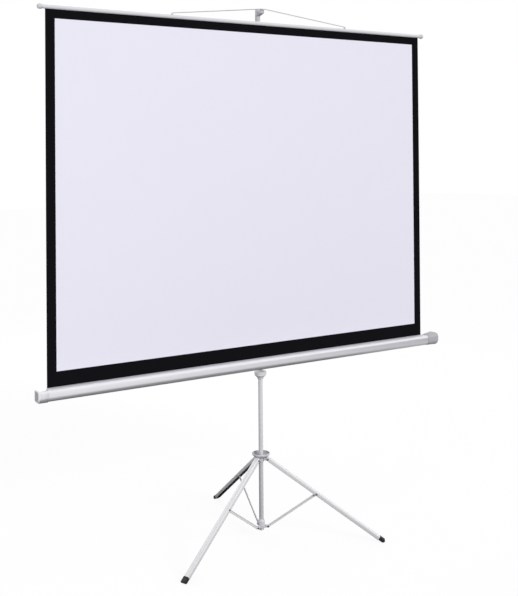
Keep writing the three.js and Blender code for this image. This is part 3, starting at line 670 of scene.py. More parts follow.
def make_stand_tube():
    """The tripod's post, and the ribbed plug in its lower end."""
    # The post takes the darker copy of the pale paint: painted shade
    tube_piece("tripod_post", "tripod_tube", "stand", POST_SHADED_PAINT)
    low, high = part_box("tube_end_plug")
    radius = (high.y - low.y) / 2
    shank = 9.7 * MM
    cap_top = high.z - 12.3 * MM
    waist = radius - 0.6 * MM
    profile = [(radius - 4 * MM, low.z), (radius - 1.5 * MM, low.z + 1.5 * MM)]
    for step in range(3):
        base = low.z + (2 + 2 * step) * MM
        profile += [(radius, base + 0.4 * MM), (radius, base + 1.2 * MM), (waist, base + 1.6 * MM)]
    profile += [(shank, cap_top), (shank, high.z)]
    plug = turned("post_end_plug", profile, hollow=False)
    soften(plug, TUBE_EDGE)
    settle(plug, on_mast())
    finish(plug, "stand", "grey_plastic", GREY_PLASTIC, "tube_end_plug")


def make_bottom_collar():
    """The ribbed collar at the post's foot, with a pair of ears for each spreader."""
    low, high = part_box("bottom_collar")
    radius = 17 * MM
    waist = radius - 0.8 * MM
    profile = [(POST_BORE, low.z), (radius, low.z), (radius, low.z + 15 * MM), (waist, low.z + 16 * MM)]
    for step in range(3):
        base = low.z + (17 + 5 * step) * MM
        profile += [(waist, base + 1 * MM), (radius, base + 2 * MM)]
        profile += [(radius, base + 4 * MM), (waist, base + 5 * MM)]
    profile += [(radius - 3 * MM, high.z), (POST_BORE, high.z)]
    ring = turned("bottom_collar_ring", profile)
    soften(ring, EDGE)
    settle(ring, on_mast())
    finish(ring, "stand", "grey_plastic", GREY_PLASTIC, "bottom_collar")
    root = radius - 2 * MM
    inner = 2.3 * MM
    outer = 5.3 * MM
    for side, azimuth in AZIMUTHS.items():
        pivot_lug(f"collar_ear_{side}_a", "stand", azimuth, root, COLLAR_Z, inner, outer)
        pivot_lug(f"collar_ear_{side}_b", "stand", azimuth, root, COLLAR_Z, -outer, -inner)


def rivet(name, reach):
    """A rivet along Y with a low domed head at each end."""
    shank = 3 * MM
    head = 5.5 * MM
    rim = 0.5 * MM
    dome = 1.7 * MM
    steps = 5
    upper = [(shank, 0.0), (shank, reach), (head, reach), (head, reach + rim)]
    for step in range(1, steps):
        turn = step / steps * pi / 2
        upper.append((head * cos(turn), reach + rim + dome * sin(turn)))
    lower = [(radius, -height) for radius, height in reversed(upper[1:])]
    piece = turned(name, [*lower, *upper], SMALL_ROUND, hollow=False)
    soften(piece, PIN_EDGE, 1)
    settle(piece, Matrix.Rotation(-pi / 2, 4, "X"))
    return piece


def make_rivets():
    wide = rivet("wide_rivet", LEG_WIDTH / 2 + PLAY)
    narrow = rivet("narrow_rivet", STRAP_THICKNESS / 2 + 3.6 * MM)
    for side, azimuth in AZIMUTHS.items():
        leg = leg_place(azimuth)
        link_end = leg @ Matrix.Translation((0, 0, -LINK_LENGTH))
        for name, model, place, body in (
            (f"hub_pin_{side}", wide, leg, "sliding_hub"),
            (f"leg_pin_{side}", wide, link_end, f"leg_{side}_arm"),
            (f"collar_pin_{side}", narrow, spreader_place(azimuth), "stand"),
        ):
            pin = again(model, name.replace("pin", "rivet"))
            settle(pin, place)
            finish(pin, body, "steel", STEEL, name)
    drop(wide)
    drop(narrow)


def make_hub():
    """The hub: a sleeve on the post, an open bowl over the legs' heads with its inside painted darker
    as shade, and a lug for each leg.
    """
    low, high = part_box("hub")
    sleeve = 15 * MM
    rim = (high.x - low.x) / 2
    foot = rim - 18 * MM
    wall = 2 * MM
    skirt = HUB_Z + 13.5 * MM
    floor = skirt + wall
    bead = high.z - 5 * MM
    steps = 8
    turns = [step / steps * pi / 2 for step in range(steps + 1)]

    def bowl(reach, base):
        deep = bead - base
        return [(foot + (reach - foot) * sin(turn), base + deep * (1 - cos(turn))) for turn in turns]

    profile = [(POST_BORE, low.z), (sleeve - 1 * MM, low.z), (sleeve, low.z + 1 * MM), (sleeve, skirt)]
    profile += [*bowl(rim - 0.7 * MM, skirt), (rim, bead + 0.4 * MM), (rim, high.z - 0.8 * MM)]
    profile += [(rim - 0.8 * MM, high.z), (rim - wall, high.z), *reversed(bowl(rim - wall, floor))]
    profile.append((POST_BORE, floor))
    basin = turned("hub_bowl", profile)
    soften(basin, TUBE_EDGE)
    settle(basin, on_mast())
    finish(basin, "sliding_hub", "grey_plastic", GREY_PLASTIC, "hub")
    axis = Vector((MAST_X, MAST_Y, 0))
    # Painted shade: the bowl's inner faces get the darker colour
    paint(
        basin,
        HUB_PAINTED_SHADE,
        lambda middle, normal: skirt + wall / 2 < middle.z < high.z - 0.6 * MM
        and normal.z > -0.1
        and (middle - axis).to_2d().dot(normal.to_2d()) < 0.01 * MM,
    )
    half = 10.5 * MM
    for side, azimuth in AZIMUTHS.items():
        pivot_lug(f"hub_lug_{side}", "sliding_hub", azimuth, sleeve - 2 * MM, HUB_Z, -half, half)


def make_legs():
    """Channel legs of folded sheet, open towards the post, with a shallow recess along the back and the
    channel's inside painted dark as shade.
    """
    half = LEG_WIDTH / 2
    leg = slab("leg_model", (-LEG_LIP, -half, -LEG_LENGTH), (LEG_BACK, half, LEG_HEAD))
    pick("EDGE", lambda middle, way: abs(way.z) > 0.9 and middle.x > 0)
    bevel(2.4 * MM, 4)
    pick("FACE", lambda middle, normal: normal.x < -0.9 or abs(normal.z) > 0.9)
    open_faces()
    pick("FACE", lambda middle, normal: normal.x > 0.99)
    inset(5.5 * MM)
    push(-0.9 * MM, 0, 0)
    bpy.ops.transform.resize(value=(1, 0.78, 0.998), center_override=(LEG_BACK, 0, -LEG_LENGTH / 2))
    leave()
    thicken(leg, LEG_WALL)
    soften(leg, 0.35 * MM)
    inner = half - LEG_WALL
    for side, azimuth in AZIMUTHS.items():
        piece = again(leg, f"leg_channel_{side}")
        finish(piece, f"leg_{side}_arm", "pale_metal", PALE_PAINT, f"leg_{side}")
        # Painted shade: the channel's inner faces get the dark colour
        paint(
            piece,
            CHANNEL_PAINTED_SHADE,
            lambda middle, normal: abs(middle.y) < inner + 0.01 * MM
            and (normal.x < -0.5 or normal.y * middle.y < 0)
            and -LEG_LIP + 0.5 * MM < middle.x < LEG_BACK - 0.8 * MM,
        )
        settle(piece, leg_place(azimuth))
    drop(leg)


def make_spreaders():
    """Flat straps with round ends and a recess along each face."""
    end = STRAP_WIDTH / 2
    half = STRAP_THICKNESS / 2
    strap = slab("strap_model", (-end, -half, -end), (end, half, LINK_LENGTH + end))
    pick("EDGE", lambda middle, way: abs(way.y) > 0.9)
    bevel(end * 0.98)
    pick("FACE", lambda middle, normal: abs(normal.y) > 0.9)
    bpy.ops.mesh.inset(thickness=2.6 * MM, use_individual=True)
    for hand in (1, -1):
        pick(
            "FACE",
            lambda middle, normal: normal.y * hand > 0.9
            and abs(middle.x) < 0.5 * MM
            and 0.1 < middle.z < 0.2,
        )
        push(0, -0.7 * MM * hand, 0)
    leave()
    soften(strap, EDGE)
    for side, azimuth in AZIMUTHS.items():
        piece = again(strap, f"spreader_strap_{side}")
        settle(piece, spreader_place(azimuth))
        finish(piece, f"spreader_{side}_arm", "pale_metal", PALE_PAINT, f"spreader_{side}")
    drop(strap)


def make_boots():
    """Rubber boots: a grooved block past the leg's end, flat on the floor, and a plug in the leg."""
    along = Vector((sin(SPREAD), -cos(SPREAD)))
    across = Vector((cos(SPREAD), sin(SPREAD)))
    end = Vector((PIVOT_RADIUS, HUB_Z)) + along * LEG_LENGTH
    half = LEG_WIDTH / 2 + BOOT_PROUD
    outside = LEG_BACK + BOOT_PROUD
    inside = BOOT_DEPTH - outside
    way_down = Vector((along.x, 0, along.y))
    groove_width = 1.6 * MM
    groove_depth = 0.7 * MM

    def at(down, out):
        return tuple(end + along * down + across * out)

    def depth_of(point):
        return (Vector((point.x, point.z)) - end).dot(along)

    toe = BOOT_HEEL + BOOT_SOLE * sin(SPREAD)
    heel = at(BOOT_HEEL, -inside)[0]
    points = [at(PLAY, outside), at(toe, outside)]
    points += [(heel + BOOT_SOLE, 0.0), (heel, 0.0), at(PLAY, -inside)]
    boot = outlined("boot_model", points, 2 * half)
    pick("EDGE", lambda middle, way: abs(way.y) > 0.9 and depth_of(middle) > toe - 0.1 * MM)
    bevel(4.5 * MM, 6)
    pick("FACE", lambda middle, normal: normal.z < -0.98)
    inset(2.0 * MM)
    push(0, 0, 1.0 * MM)
    for groove in (4 * MM, 9 * MM):
        for down in (groove, groove + groove_width):
            pick_all()
            x, z = at(down, 0)
            bpy.ops.mesh.bisect(plane_co=(x, 0, z), plane_no=way_down)
        pick(
            "FACE",
            lambda middle, normal: groove < depth_of(middle) < groove + groove_width
            and abs(normal.dot(way_down)) < 0.1,
        )
        bpy.ops.mesh.extrude_region_shrink_fatten(TRANSFORM_OT_shrink_fatten={"value": -groove_depth})
    leave()
    soften(boot, RUBBER_EDGE, 2, 30)
    plug_half = half - 2.6 * MM
    shank = slab(
        "boot_plug_model",
        (BOOT_PROUD - inside, -plug_half, -LEG_LENGTH - BOOT_HEEL / 2),
        (LEG_BACK - LEG_WALL - PLAY, plug_half, -LEG_LENGTH + BOOT_SHANK),
    )
    pick("FACE", lambda middle, normal: normal.z > 0.9)
    inset(2.5 * MM)
    push(0, 0, -8 * MM)
    leave()
    soften(shank, RUBBER_EDGE)
    for side, azimuth in AZIMUTHS.items():
        piece = again(boot, f"boot_{side}")
        settle(piece, on_mast(azimuth))
        finish(piece, f"leg_{side}_arm", "black_rubber", RUBBER, f"foot_{side}", smooth=50)
        plug = again(shank, f"boot_plug_{side}")
        settle(plug, leg_place(azimuth))
        finish(plug, f"leg_{side}_arm", "black_rubber", RUBBER)
    drop(boot)
    drop(shank)


# Height lock, riser and bracket


def make_height_lock():
    """The cup-shaped height collar, with a groove under its ribbed grip, in a paler copy of the grey
    plastic as painted light against the case's shadow.
    """
    low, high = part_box("height_collar")
    radius = (high.x - low.x) / 2
    top_bore = 10 * MM
    pocket = 14.3 * MM
    pocket_floor = low.z + 25.3 * MM
    groove = radius - 2.2 * MM
    profile = [(POST_BORE, low.z), (13.1 * MM, low.z), (14.2 * MM, low.z + 1 * MM)]
    profile += [(15.1 * MM, low.z + 6 * MM), (18 * MM, low.z + 10 * MM), (22 * MM, low.z + 13.5 * MM)]
    profile += [(radius - 4 * MM, low.z + 17 * MM), (radius - 1.6 * MM, low.z + 20 * MM)]
    profile += [(radius - 1 * MM, low.z + 22 * MM), (groove, low.z + 23 * MM)]
    profile += [(groove, low.z + 24.2 * MM), (radius - 0.6 * MM, low.z + 25.2 * MM)]
    profile.append((radius, low.z + 33 * MM))
    profile += [(radius - 0.8 * MM, low.z + 36 * MM), (radius - 3 * MM, high.z - 1 * MM)]
    profile += [(radius - 5 * MM, high.z), (top_bore, high.z), (top_bore, high.z - 3 * MM)]
    profile += [(pocket, high.z - 3 * MM), (pocket, pocket_floor), (POST_BORE, pocket_floor)]
    cup = turned("height_cup", profile)
    soften(cup, EDGE)
    settle(cup, on_mast())
    # The cup and its ribs take the paler copy of the grey plastic: painted light
    finish(cup, "height_lock", "grey_plastic", CUP_PAINTED_LIGHT, "height_collar")
    rib_low = (radius - 2.5 * MM, -1.6 * MM, low.z + 26 * MM)
    rib_high = (radius, 1.6 * MM, low.z + 35 * MM)
    grip_ribs("cup_rib", 12, rib_low, rib_high, 0.7 * MM, "height_lock", "grey_plastic", CUP_PAINTED_LIGHT)


def make_riser():
    """The riser tube, and the bracket on it: a sleeve with a block that holds the case's pivot."""
    tube_piece("riser_post", "riser_tube", "riser")
    low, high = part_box("case_bracket")
    bore = 10 * MM
    radius = 15 * MM
    waist = radius - 0.8 * MM
    profile = [(bore, low.z), (radius - 1 * MM, low.z), (radius, low.z + 1 * MM)]
    profile += [(radius, low.z + 8 * MM), (waist, low.z + 9 * MM), (waist, high.z - 9 * MM)]
    profile += [(radius, high.z - 8 * MM), (radius, high.z - 1 * MM), (radius - 1 * MM, high.z)]
    profile.append((bore, high.z))
    sleeve = turned("bracket_sleeve", profile)
    soften(sleeve, TUBE_EDGE)
    settle(sleeve, on_mast())
    finish(sleeve, "riser", "grey_plastic", GREY_PLASTIC, "case_bracket")
    block_low = CASE_Z - 24 * MM
    block_high = CASE_Z + 24 * MM
    front = low.y - MAST_Y
    back = -4 * MM
    half = (high.x - low.x) / 2
    inner = half - 5 * MM
    cheeks = {
        "front": ((-half, front, block_low), (half, front + 8 * MM, block_high)),
        "left": ((-half, front, block_low), (-inner, back, block_high)),
        "right": ((inner, front, block_low), (half, back, block_high)),
    }
    for name, (corner, far) in cheeks.items():
        cheek = slab(f"bracket_cheek_{name}", corner, far)
        leave()
        soften(cheek, BLOCK_EDGE, 3)
        settle(cheek, on_mast())
        finish(cheek, "riser", "grey_plastic", GREY_PLASTIC)


def lock_collar(name, node, body, tube_radius, inner_radius, shoulder, ribs):
    """A twist lock: a body with a shoulder inside for the tube's end, and grip ribs round it."""
    low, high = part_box(node)
    radius = (high.y - low.y) / 2
    wide = tube_radius + PLAY
    narrow = inner_radius + PLAY
    step_z = high.z - shoulder + PLAY
    core = radius - 1.2 * MM
    profile = [(wide, low.z), (core - 1.5 * MM, low.z), (core, low.z + 3 * MM), (core, high.z - 4 * MM)]
    profile += [(core - 2 * MM, high.z), (narrow, high.z), (narrow, step_z), (wide, step_z)]
    collar = turned(name, profile)
    soften(collar, EDGE)
    settle(collar, on_mast())
    finish(collar, body, "dark_plastic", DARK_PLASTIC, node)
    rib_low = (core - 1 * MM, -1.3 * MM, low.z + 4 * MM)
    rib_high = (radius - 0.1 * MM, 1.3 * MM, high.z - 6 * MM)
    grip_ribs(f"{name}_rib", ribs, rib_low, rib_high, 0.5 * MM, body, "dark_plastic", DARK_PLASTIC)


def make_mast():
    tube_piece("mast_lower", "mast_lower_tube", "mast_lower")
    tube_piece("mast_upper", "mast_upper_tube", "mast_upper")
    riser, lower, upper = 9.7 * MM, 8.4 * MM, 7.1 * MM
    lock_collar("mast_lower_twist", "mast_lower_collar", "mast_lower_lock", riser, lower, 13 * MM, 14)
    lock_collar("mast_upper_twist", "mast_upper_collar", "mast_upper_lock", lower, upper, 9 * MM, 12)


def make_hook():
    """The mast's hook: a socket on the upper tube, and a nose with a channel for the bail's tongue."""
    low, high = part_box("mast_hook")
    bore = 7.4 * MM
    radius = 13 * MM
    waist = radius - 0.7 * MM
    vent = 2 * MM
    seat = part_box("mast_upper_tube")[1].z + PLAY
    profile = [(bore, low.z), (radius - 1 * MM, low.z), (radius, low.z + 1 * MM)]
    profile += [(radius, low.z + 14 * MM), (waist, low.z + 15 * MM), (waist, low.z + 17 * MM)]
    profile += [(radius, low.z + 18 * MM), (radius, high.z - 4 * MM)]
    profile += [(radius - 1.2 * MM, high.z - 1.4 * MM), (radius - 4 * MM, high.z)]
    profile += [(vent, high.z), (vent, seat), (bore, seat)]
    socket = turned("hook_socket", profile)
    soften(socket, EDGE)
    settle(socket, on_mast())
    finish(socket, "mast_upper", "dark_plastic", SOCKET_PLASTIC, "mast_hook")
    lip_top = high.z - 7 * MM
    channel = lip_top - 13 * MM
    wall_top = high.z - 4 * MM
    nose = low.y - MAST_Y
    lip = nose + 4.5 * MM
    wall_front = -15 * MM
    wall_back = -9 * MM
    points = [(wall_back, channel - 12 * MM), (nose + 2 * MM, channel - 4 * MM)]
    points += [(nose, channel - 2 * MM), (nose, lip_top), (lip, lip_top), (lip, channel)]
    points += [(wall_front, channel), (wall_front, wall_top), (wall_back, wall_top)]
    block = outlined("hook_nose", points, 24 * MM)
    leave()
    soften(block, BLOCK_EDGE, 3)
    settle(block, on_mast(pi / 2))
    finish(block, "mast_upper", "dark_plastic", HOOK_PLASTIC)


# Case


def case_outline_cut(piece, grow=0.0):
    """Round a case-shaped box's long edges: most at the front's foot, least at the back."""
    low, high = piece.bound_box[0], piece.bound_box[6]
    for y, z, radius in (
        (low[1], high[2], CASE_TOP_RADIUS),
        (low[1], low[2], CASE_FOOT_RADIUS),
        (high[1], high[2], CASE_BACK_RADIUS),
        (high[1], low[2], CASE_BACK_RADIUS),
    ):
        pick(
            "EDGE",
            lambda middle, way: abs(way.x) > 0.9 and hypot(middle.y - y, middle.z - z) < 0.1 * MM,
        )
        bevel(radius + grow, 10)


def make_case():
    """The case's drawn shell, with a slot along its top for the cloth, and its flat top given a duller
    copy of the metal as painted light, so it reads lighter.
    """
    shell = slab("case_tube", case_low, case_high)
    case_outline_cut(shell)
    for edge in (CLOTH_Y - SLOT_HALF, CLOTH_Y + SLOT_HALF):
        pick_all()
        bpy.ops.mesh.bisect(plane_co=(0, edge, 0), plane_no=(0, 1, 0))
    slot = SLOT_HALF - 0.1 * MM
    pick(
        "FACE",
        lambda middle, normal: abs(normal.x) > 0.9
        or (normal.z > 0.9 and abs(middle.y - CLOTH_Y) < slot),
    )
    open_faces()
    leave()
    thicken(shell, CASE_WALL)
    soften(shell, EDGE)
    finish(shell, "case", "silver_case", CASE_METAL, "case_shell")
    # Painted light: the flat top takes the duller copy of the case metal
    top = case_high.z - 2 * MM
    paint(shell, CASE_TOP_PAINTED_LIGHT, lambda middle, normal: normal.z > 0.9 and middle.z > top)


def cap_sleeve(side, mouth, end):
    """The part of a plain end cap that goes over the case's end."""
    grow = Vector((0, CAP_WALL, CAP_WALL))
    low, high = case_low - grow, case_high + grow
    low.x, high.x = sorted((mouth, end))
    sleeve = slab(f"case_sleeve_{side}", low, high)
    case_outline_cut(sleeve, CAP_WALL)
    pick("FACE", lambda middle, normal: abs(normal.x) > 0.9)
    open_faces()
    leave()
    thicken(sleeve, 2 * MM)
    soften(sleeve, 0.5 * MM)
    finish(sleeve, "case", "grey_plastic", CASE_METAL)


def end_screw(side, outward, tip):
    """The round screw head in the middle of an end cap."""
    bore = 1.2 * MM
    head = 3.6 * MM
    crown = 0.5 * MM
    profile = [(bore, -2 * MM), (head, -2 * MM), (head, 0.1 * MM), (3.0 * MM, crown)]
    profile += [(bore, crown), (bore, -0.6 * MM)]
    screw = turned(f"case_end_{side}_screw", profile, SMALL_ROUND)
    soften(screw, PIN_EDGE)
    settle(screw, lying_x(tip - outward * 0.6 * MM, ROLLER_Y, CASE_Z, outward))
    finish(screw, "case", "steel", STEEL)


def end_cap(side, outward, material, nose_round, flare=0.0, lift=0.0):
    """An end cap: a rounded nose, on a sleeve or drawn in to meet the case where it flares."""
    low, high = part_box(f"case_cap_{side}")
    tip = high.x if outward > 0 else low.x
    end = case_high.x if outward > 0 else case_low.x
    mouth = end - outward * CAP_OVERLAP
    root = mouth if flare else end + outward * PLAY
    swell = Vector((0, CAP_WALL + flare, CAP_WALL + flare))
    rise = Vector((0, 0, lift))
    nose_low, nose_high = case_low - swell + rise, case_high + swell + rise
    nose_low.x, nose_high.x = sorted((root, tip))
    nose = slab(f"case_end_{side}", nose_low, nose_high)
    case_outline_cut(nose, CAP_WALL + flare)
    pick("FACE", lambda middle, normal: normal.x * outward > 0.9)
    bevel(nose_round)
    if flare:
        centre = (nose_low + nose_high) / 2
        fit = (case_high - case_low) / 2 + Vector((0, CAP_WALL / 2, CAP_WALL / 2))
        shrink = (1, fit.y / (nose_high.y - centre.y), fit.z / (nose_high.z - centre.z))
        pick("FACE", lambda middle, normal: normal.x * outward < -0.9)
        bpy.ops.transform.resize(value=shrink, center_override=(root, centre.y, centre.z))
        bpy.ops.transform.translate(value=-rise)
        open_faces()
        leave()
        thicken(nose, CAP_WALL / 2)
    else:
        leave()
        cap_sleeve(side, mouth, root)
    finish(nose, "case", "grey_plastic", material, f"case_cap_{side}")
    end_screw(side, outward, tip)
    return nose


def make_end_caps():
    """A short plain cap on the left with its flat end face painted darker as shade, and a longer flared
    one on the right.
    """
    left = end_cap("left", -1, CASE_METAL, nose_round=9 * MM)
    # Painted shade: only the flat end face gets the darker colour
    paint(left, END_FACE_PAINTED_SHADE, lambda middle, normal: normal.x < -0.995)
    end_cap("right", 1, CAP_PLASTIC, nose_round=12 * MM, flare=4 * MM, lift=3.5 * MM)


def make_pivot():
    """The pivot plate with its stud on the case's back, and the washer behind it."""
    low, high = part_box("case_pivot_plate")
    back = low.y + 4.5 * MM
    radius = (high.z - low.z) / 2
    stud = 5 * MM
    rim = 0.6 * MM
    tip = 0.8 * MM
    profile = [(radius - rim, low.y), (radius, low.y + rim), (radius, back - rim), (radius - rim, back)]
    profile += [(stud, back), (stud, high.y - tip), (stud - tip, high.y)]
    plate = turned("pivot_disc", profile, hollow=False)
    settle(plate, lying_y(MAST_X, 0, CASE_Z))
    finish(plate, "case", "steel", STEEL, "case_pivot_plate")
    low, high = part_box("pivot_washer")
    ring = (high.z - low.z) / 2
    bore = stud + PLAY
    washer = turned("pivot_shim", [(bore, low.y), (ring, low.y), (ring, high.y), (bore, high.y)])
    soften(washer, TUBE_EDGE)
    settle(washer, lying_y(MAST_X, 0, CASE_Z))
    finish(washer, "riser", "dark_plastic", DARK_PLASTIC, "pivot_washer")


# Cloth, bar and bail


def make_cloth():
    """The drawn cloth: taut at both ends, with a very slight wave across its middle."""
    width = CLOTH_WIDTH
    height = CLOTH_HEIGHT
    bpy.ops.object.select_all(action="DESELECT")
    middle = (CLOTH_X, CLOTH_Y, (cloth_low.z + cloth_high.z) / 2)
    bpy.ops.mesh.primitive_grid_add(
        x_subdivisions=64, y_subdivisions=48, size=1, location=middle, rotation=(pi / 2, 0, 0)
    )
    bpy.context.object.scale = (width, height, 1)
    cloth = new_piece("screen_sheet")
    held = 0.03
    for corner in cloth.data.vertices:
        across = (corner.co.x - cloth_low.x) / width
        up = (corner.co.z - cloth_low.z) / height
        slack = sin(pi * min(1, max(0, (up - held) / (1 - 2 * held))))
        edge_share = 0.4 + 0.6 * abs(2 * across - 1)
        corner.co.y += CLOTH_WAVE * slack * cos(2 * pi * CLOTH_WAVES * across) * edge_share
    thicken(cloth, CLOTH_THICKNESS, 0)
    finish(cloth, "case", "screen_cloth", CLOTH, "screen_fabric")
    paint(cloth, CLOTH_BACK, lambda middle, normal: normal.y > -0.5)
    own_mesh(cloth)


def make_top_bar():
    """The slit bar that holds the cloth's top, and the ball on each of its ends."""
    bpy.ops.object.select_all(action="DESELECT")
    bpy.ops.mesh.primitive_cylinder_add(
        vertices=48, radius=BAR_RADIUS, depth=bar_high.x - bar_low.x, end_fill_type="NOTHING"
    )
    bar = new_piece("top_rail")
    settle(bar, lying_x((bar_low.x + bar_high.x) / 2, CLOTH_Y, BAR_Z))
    edit(bar)
    pick("FACE", lambda middle, normal: normal.z < -0.98)
    open_faces()
    leave()
    thicken(bar, BAR_WALL)
    finish(bar, "screen_top", "white_metal", BAR_METAL, "top_bar")
    mouth = -10 * MM
    bore = BAR_RADIUS + PLAY
    vent = 1 * MM
    steps = 14
    for side, outward in (("left", -1), ("right", 1)):
        low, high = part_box(f"bar_cap_{side}")
        radius = (high.y - low.y) / 2
        centre = (low.x if outward < 0 else high.x) - outward * radius
        profile = [(bore, PLAY), (bore, mouth), (bore + 1.3 * MM, mouth)]
        start = acos(mouth / radius * 0.62)
        for step in range(steps):
            turn = start * (1 - step / steps)
            profile.append((radius * sin(turn), radius * cos(turn)))
        profile += [(vent, radius), (vent, PLAY)]
        ball = turned(f"rail_ball_{side}", profile)
        soften(ball, EDGE, 2, 50)
        settle(ball, lying_x(centre, CLOTH_Y, BAR_Z, outward))
        finish(ball, "screen_top", "dark_plastic", BALL_PLASTIC, f"bar_cap_{side}")


def wire_piece(name, points, radius, bend):
    """A bent wire along the points, with its corners rounded."""
    steps = 6
    route = [Vector(points[0])]
    for before, here, after in zip(points, points[1:], points[2:]):
        here = Vector(here)
        back = Vector(before) - here
        on = Vector(after) - here
        reach = min(bend, back.length * 0.45, on.length * 0.45)
        start = here + back.normalized() * reach
        stop = here + on.normalized() * reach
        for step in range(steps + 1):
            share = step / steps
            route.append(start * (1 - share) ** 2 + here * (2 * share * (1 - share)) + stop * share**2)
    route.append(Vector(points[-1]))
    bpy.ops.object.select_all(action="DESELECT")
    bpy.ops.curve.primitive_nurbs_path_add()
    piece = bpy.context.object
    piece.name = name
    piece.data.splines.clear()
    spline = piece.data.splines.new("POLY")
    spline.points.add(len(route) - 1)
    for point, spot in zip(spline.points, route):
        point.co = (*spot, 1)
    piece.data.bevel_depth = radius
    piece.data.bevel_resolution = 4
    piece.data.use_fill_caps = True
    bpy.ops.object.convert(target="MESH")
    return bpy.context.object


def make_bail():
    """The wire bail, with its tongue in the hook's channel, and the boss round each of its ends."""
    low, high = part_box("bail")
    apex = high.z - BAIL_RADIUS
    back = high.y - BAIL_RADIUS
    tongue = MAST_X + 4.5 * MM
    foot = high.x - BAIL_RADIUS
    boss_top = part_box("bail_eyelet_right")[1].z
    right = [
        (tongue, back, apex - 8 * MM),
        (tongue, back, apex),
        (tongue, CLOTH_Y, apex),
        (foot, CLOTH_Y, boss_top + BAIL_RADIUS),
        (foot, CLOTH_Y, low.z),
    ]
    left = [(2 * MAST_X - x, y, z) for x, y, z in reversed(right)]
    bail = wire_piece("bail_wire", [*left, *right], BAIL_RADIUS, BAIL_BEND)
    finish(bail, "screen_top", "steel", WIRE, "bail", smooth=60)
    bore = BAIL_RADIUS + PLAY
    seat = BAR_Z + BAR_RADIUS - 2 * MM
    for side in ("left", "right"):
        low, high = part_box(f"bail_eyelet_{side}")
        ring = (high.y - low.y) / 2
        profile = [(bore, seat), (ring, seat), (ring, high.z - 2.5 * MM)]
        profile += [(ring - 1.6 * MM, high.z), (bore, high.z)]
        boss = turned(f"bail_boss_{side}", profile, SMALL_ROUND)
        soften(boss, EDGE)
        settle(boss, Matrix.Translation(((low.x + high.x) / 2, CLOTH_Y, 0)))
        finish(boss, "screen_top", "dark_plastic", BALL_PLASTIC, f"bail_eyelet_{side}")


# Studio


def make_floor():
    """A floor that looks white with a faint shadow, and throws little light up beside the stand, where
    its colour for bounce light and reflections is painted dark as shadow, and dimmer off to the right
    as shade.
    """
    bpy.ops.object.select_all(action="DESELECT")
    bpy.ops.mesh.primitive_plane_add(size=FLOOR_SIZE, location=(0, 0, 0))
    floor = bpy.context.object
    floor.name = "floor"
    pale = Finish("pale_floor", Roughness=0.9, Specular_IOR_Level=0.1)
    spot = pale.place()
    far = pale.node("VectorMath", {"Vector": spot}, output=1, operation="LENGTH")
    right = pale.node("SeparateXYZ", {"Vector": spot})
    away = pale.node("MapRange", {"Value": far, "From Min": FLOOR_NEAR, "From Max": FLOOR_FAR})
    aside = pale.node("MapRange", {"Value": right, "From Min": FLOOR_MIDDLE, "From Max": FLOOR_RIGHT})
    # Painted shadow near the stand and painted shade off to the right, seen only by bounce light and
    # reflections
    ground = pale.mix(away, FLOOR_PAINTED_SHADOW, FLOOR_PALE)
    pale.colour(pale.mix(aside, ground, FLOOR_RIGHT_PAINTED_SHADE))
    seen = pale.node("LightPath")
    mirrored = seen.beside("Is Glossy Ray")
    glow = pale.node("Emission", {"Color": WHITE, "Strength": 1.0})
    lit = Shade(pale.tree, pale.shader.outputs[0])
    # Reflections see plain white only away from the stand and not off to the right: a painted
    # reflection that keeps the case's underside and right end dark
    unseen = pale.node("MixShader", {0: mirrored * away * (1 - aside), 1: lit, 2: glow})
    shadowed = pale.node("BsdfDiffuse", {"Color": WHITE})
    sheet = pale.node("MixShader", {0: FLOOR_GLOW, 1: shadowed, 2: glow})
    pale.show(pale.node("MixShader", {0: seen, 1: unseen, 2: sheet}), "Material Output")
    floor.data.materials.append(pale.material)


def make_sky():
    """Soft light from all round, which is plain white where it is seen or mirrored."""
    world = bpy.data.worlds.new("studio")
    bpy.context.scene.world = world
    world.use_nodes = True
    sky = Nodes(world.node_tree)
    light = sky.node("Background", {"Color": SKY_TINT, "Strength": SKY_STRENGTH})
    white = sky.node("Background", {"Color": WHITE, "Strength": 1.0})
    rays = sky.node("LightPath")
    seen = rays + rays.beside("Is Glossy Ray") + rays.beside("Is Transmission Ray")
    sky.show(sky.node("MixShader", {0: seen, 1: light, 2: white}), "World Output")


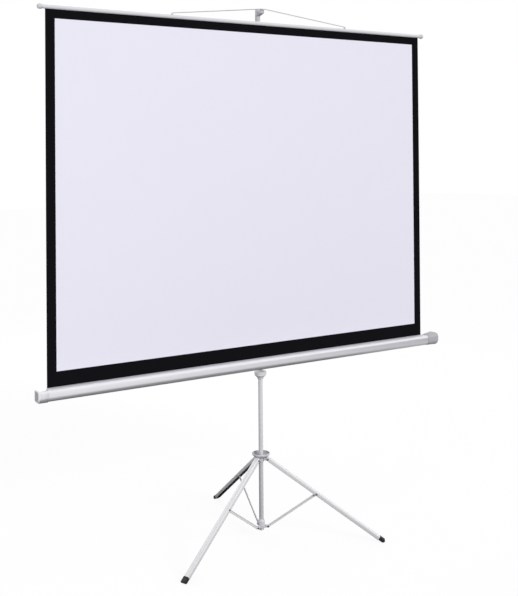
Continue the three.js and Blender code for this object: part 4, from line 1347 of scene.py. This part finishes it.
def make_lamps():
    """A soft key light from the front, and a wide lamp behind."""
    bpy.ops.object.light_add(type="SUN", location=KEY_PLACE)
    key = bpy.context.object
    key.name = "key"
    key.data.energy = KEY_STRENGTH
    key.data.angle = radians(KEY_SPREAD)
    key.visible_glossy = False
    key.rotation_euler = (radians(90 - KEY_RISE), 0, radians(KEY_TURN))
    bpy.ops.object.light_add(type="AREA", location=BACK_LAMP_PLACE)
    back = bpy.context.object
    back.name = "back"
    back.data.size = BACK_LAMP_SIZE
    back.data.energy = BACK_LAMP_WATTS
    back.rotation_euler = (Vector(BACK_LAMP_AIM) - back.location).to_track_quat("-Z", "Y").to_euler()


def make_camera():
    """The photograph's viewpoint: left of the screen, nearly level, with the frame shifted down."""
    from_x, from_y = CAMERA_FROM_MAST
    bpy.ops.object.camera_add(location=(MAST_X + from_x, MAST_Y + from_y, CAMERA_HEIGHT))
    camera = bpy.context.object
    look = Euler((pi / 2 + radians(CAMERA_PITCH), 0, -radians(CAMERA_YAW))).to_matrix()
    turn = look @ Matrix.Rotation(radians(CAMERA_ROLL), 3, "Z")
    camera.rotation_euler = turn.to_euler()
    camera.data.sensor_fit = "VERTICAL"
    camera.data.sensor_height = FILM_HEIGHT
    camera.data.sensor_width = FILM_HEIGHT * PHOTO_WIDTH / PHOTO_HEIGHT
    camera.data.lens = CAMERA_LENS
    camera.data.shift_y = CAMERA_SHIFT
    bpy.context.scene.camera = camera


def dress_bare_nodes():
    """Give the nodes that stay as they are the finish of their slot."""
    slots = {part["node"]: part["material_slot"] for part in frame["record"]["subparts"]}
    for name, node in frame["nodes"].items():
        if not node.hide_render:
            node.data.materials.clear()
            node.data.materials.append(SLOT_FINISH[slots[name]])


make_camera()
make_floor()
make_sky()
make_lamps()
make_cloth()
make_case()
make_end_caps()
make_top_bar()
make_bail()
make_hook()
make_stand_tube()
make_bottom_collar()
make_hub()
make_legs()
make_spreaders()
make_boots()
make_rivets()
make_height_lock()
make_riser()
make_pivot()
make_mast()
dress_bare_nodes()

bpy.context.scene.view_settings.view_transform = "Standard"
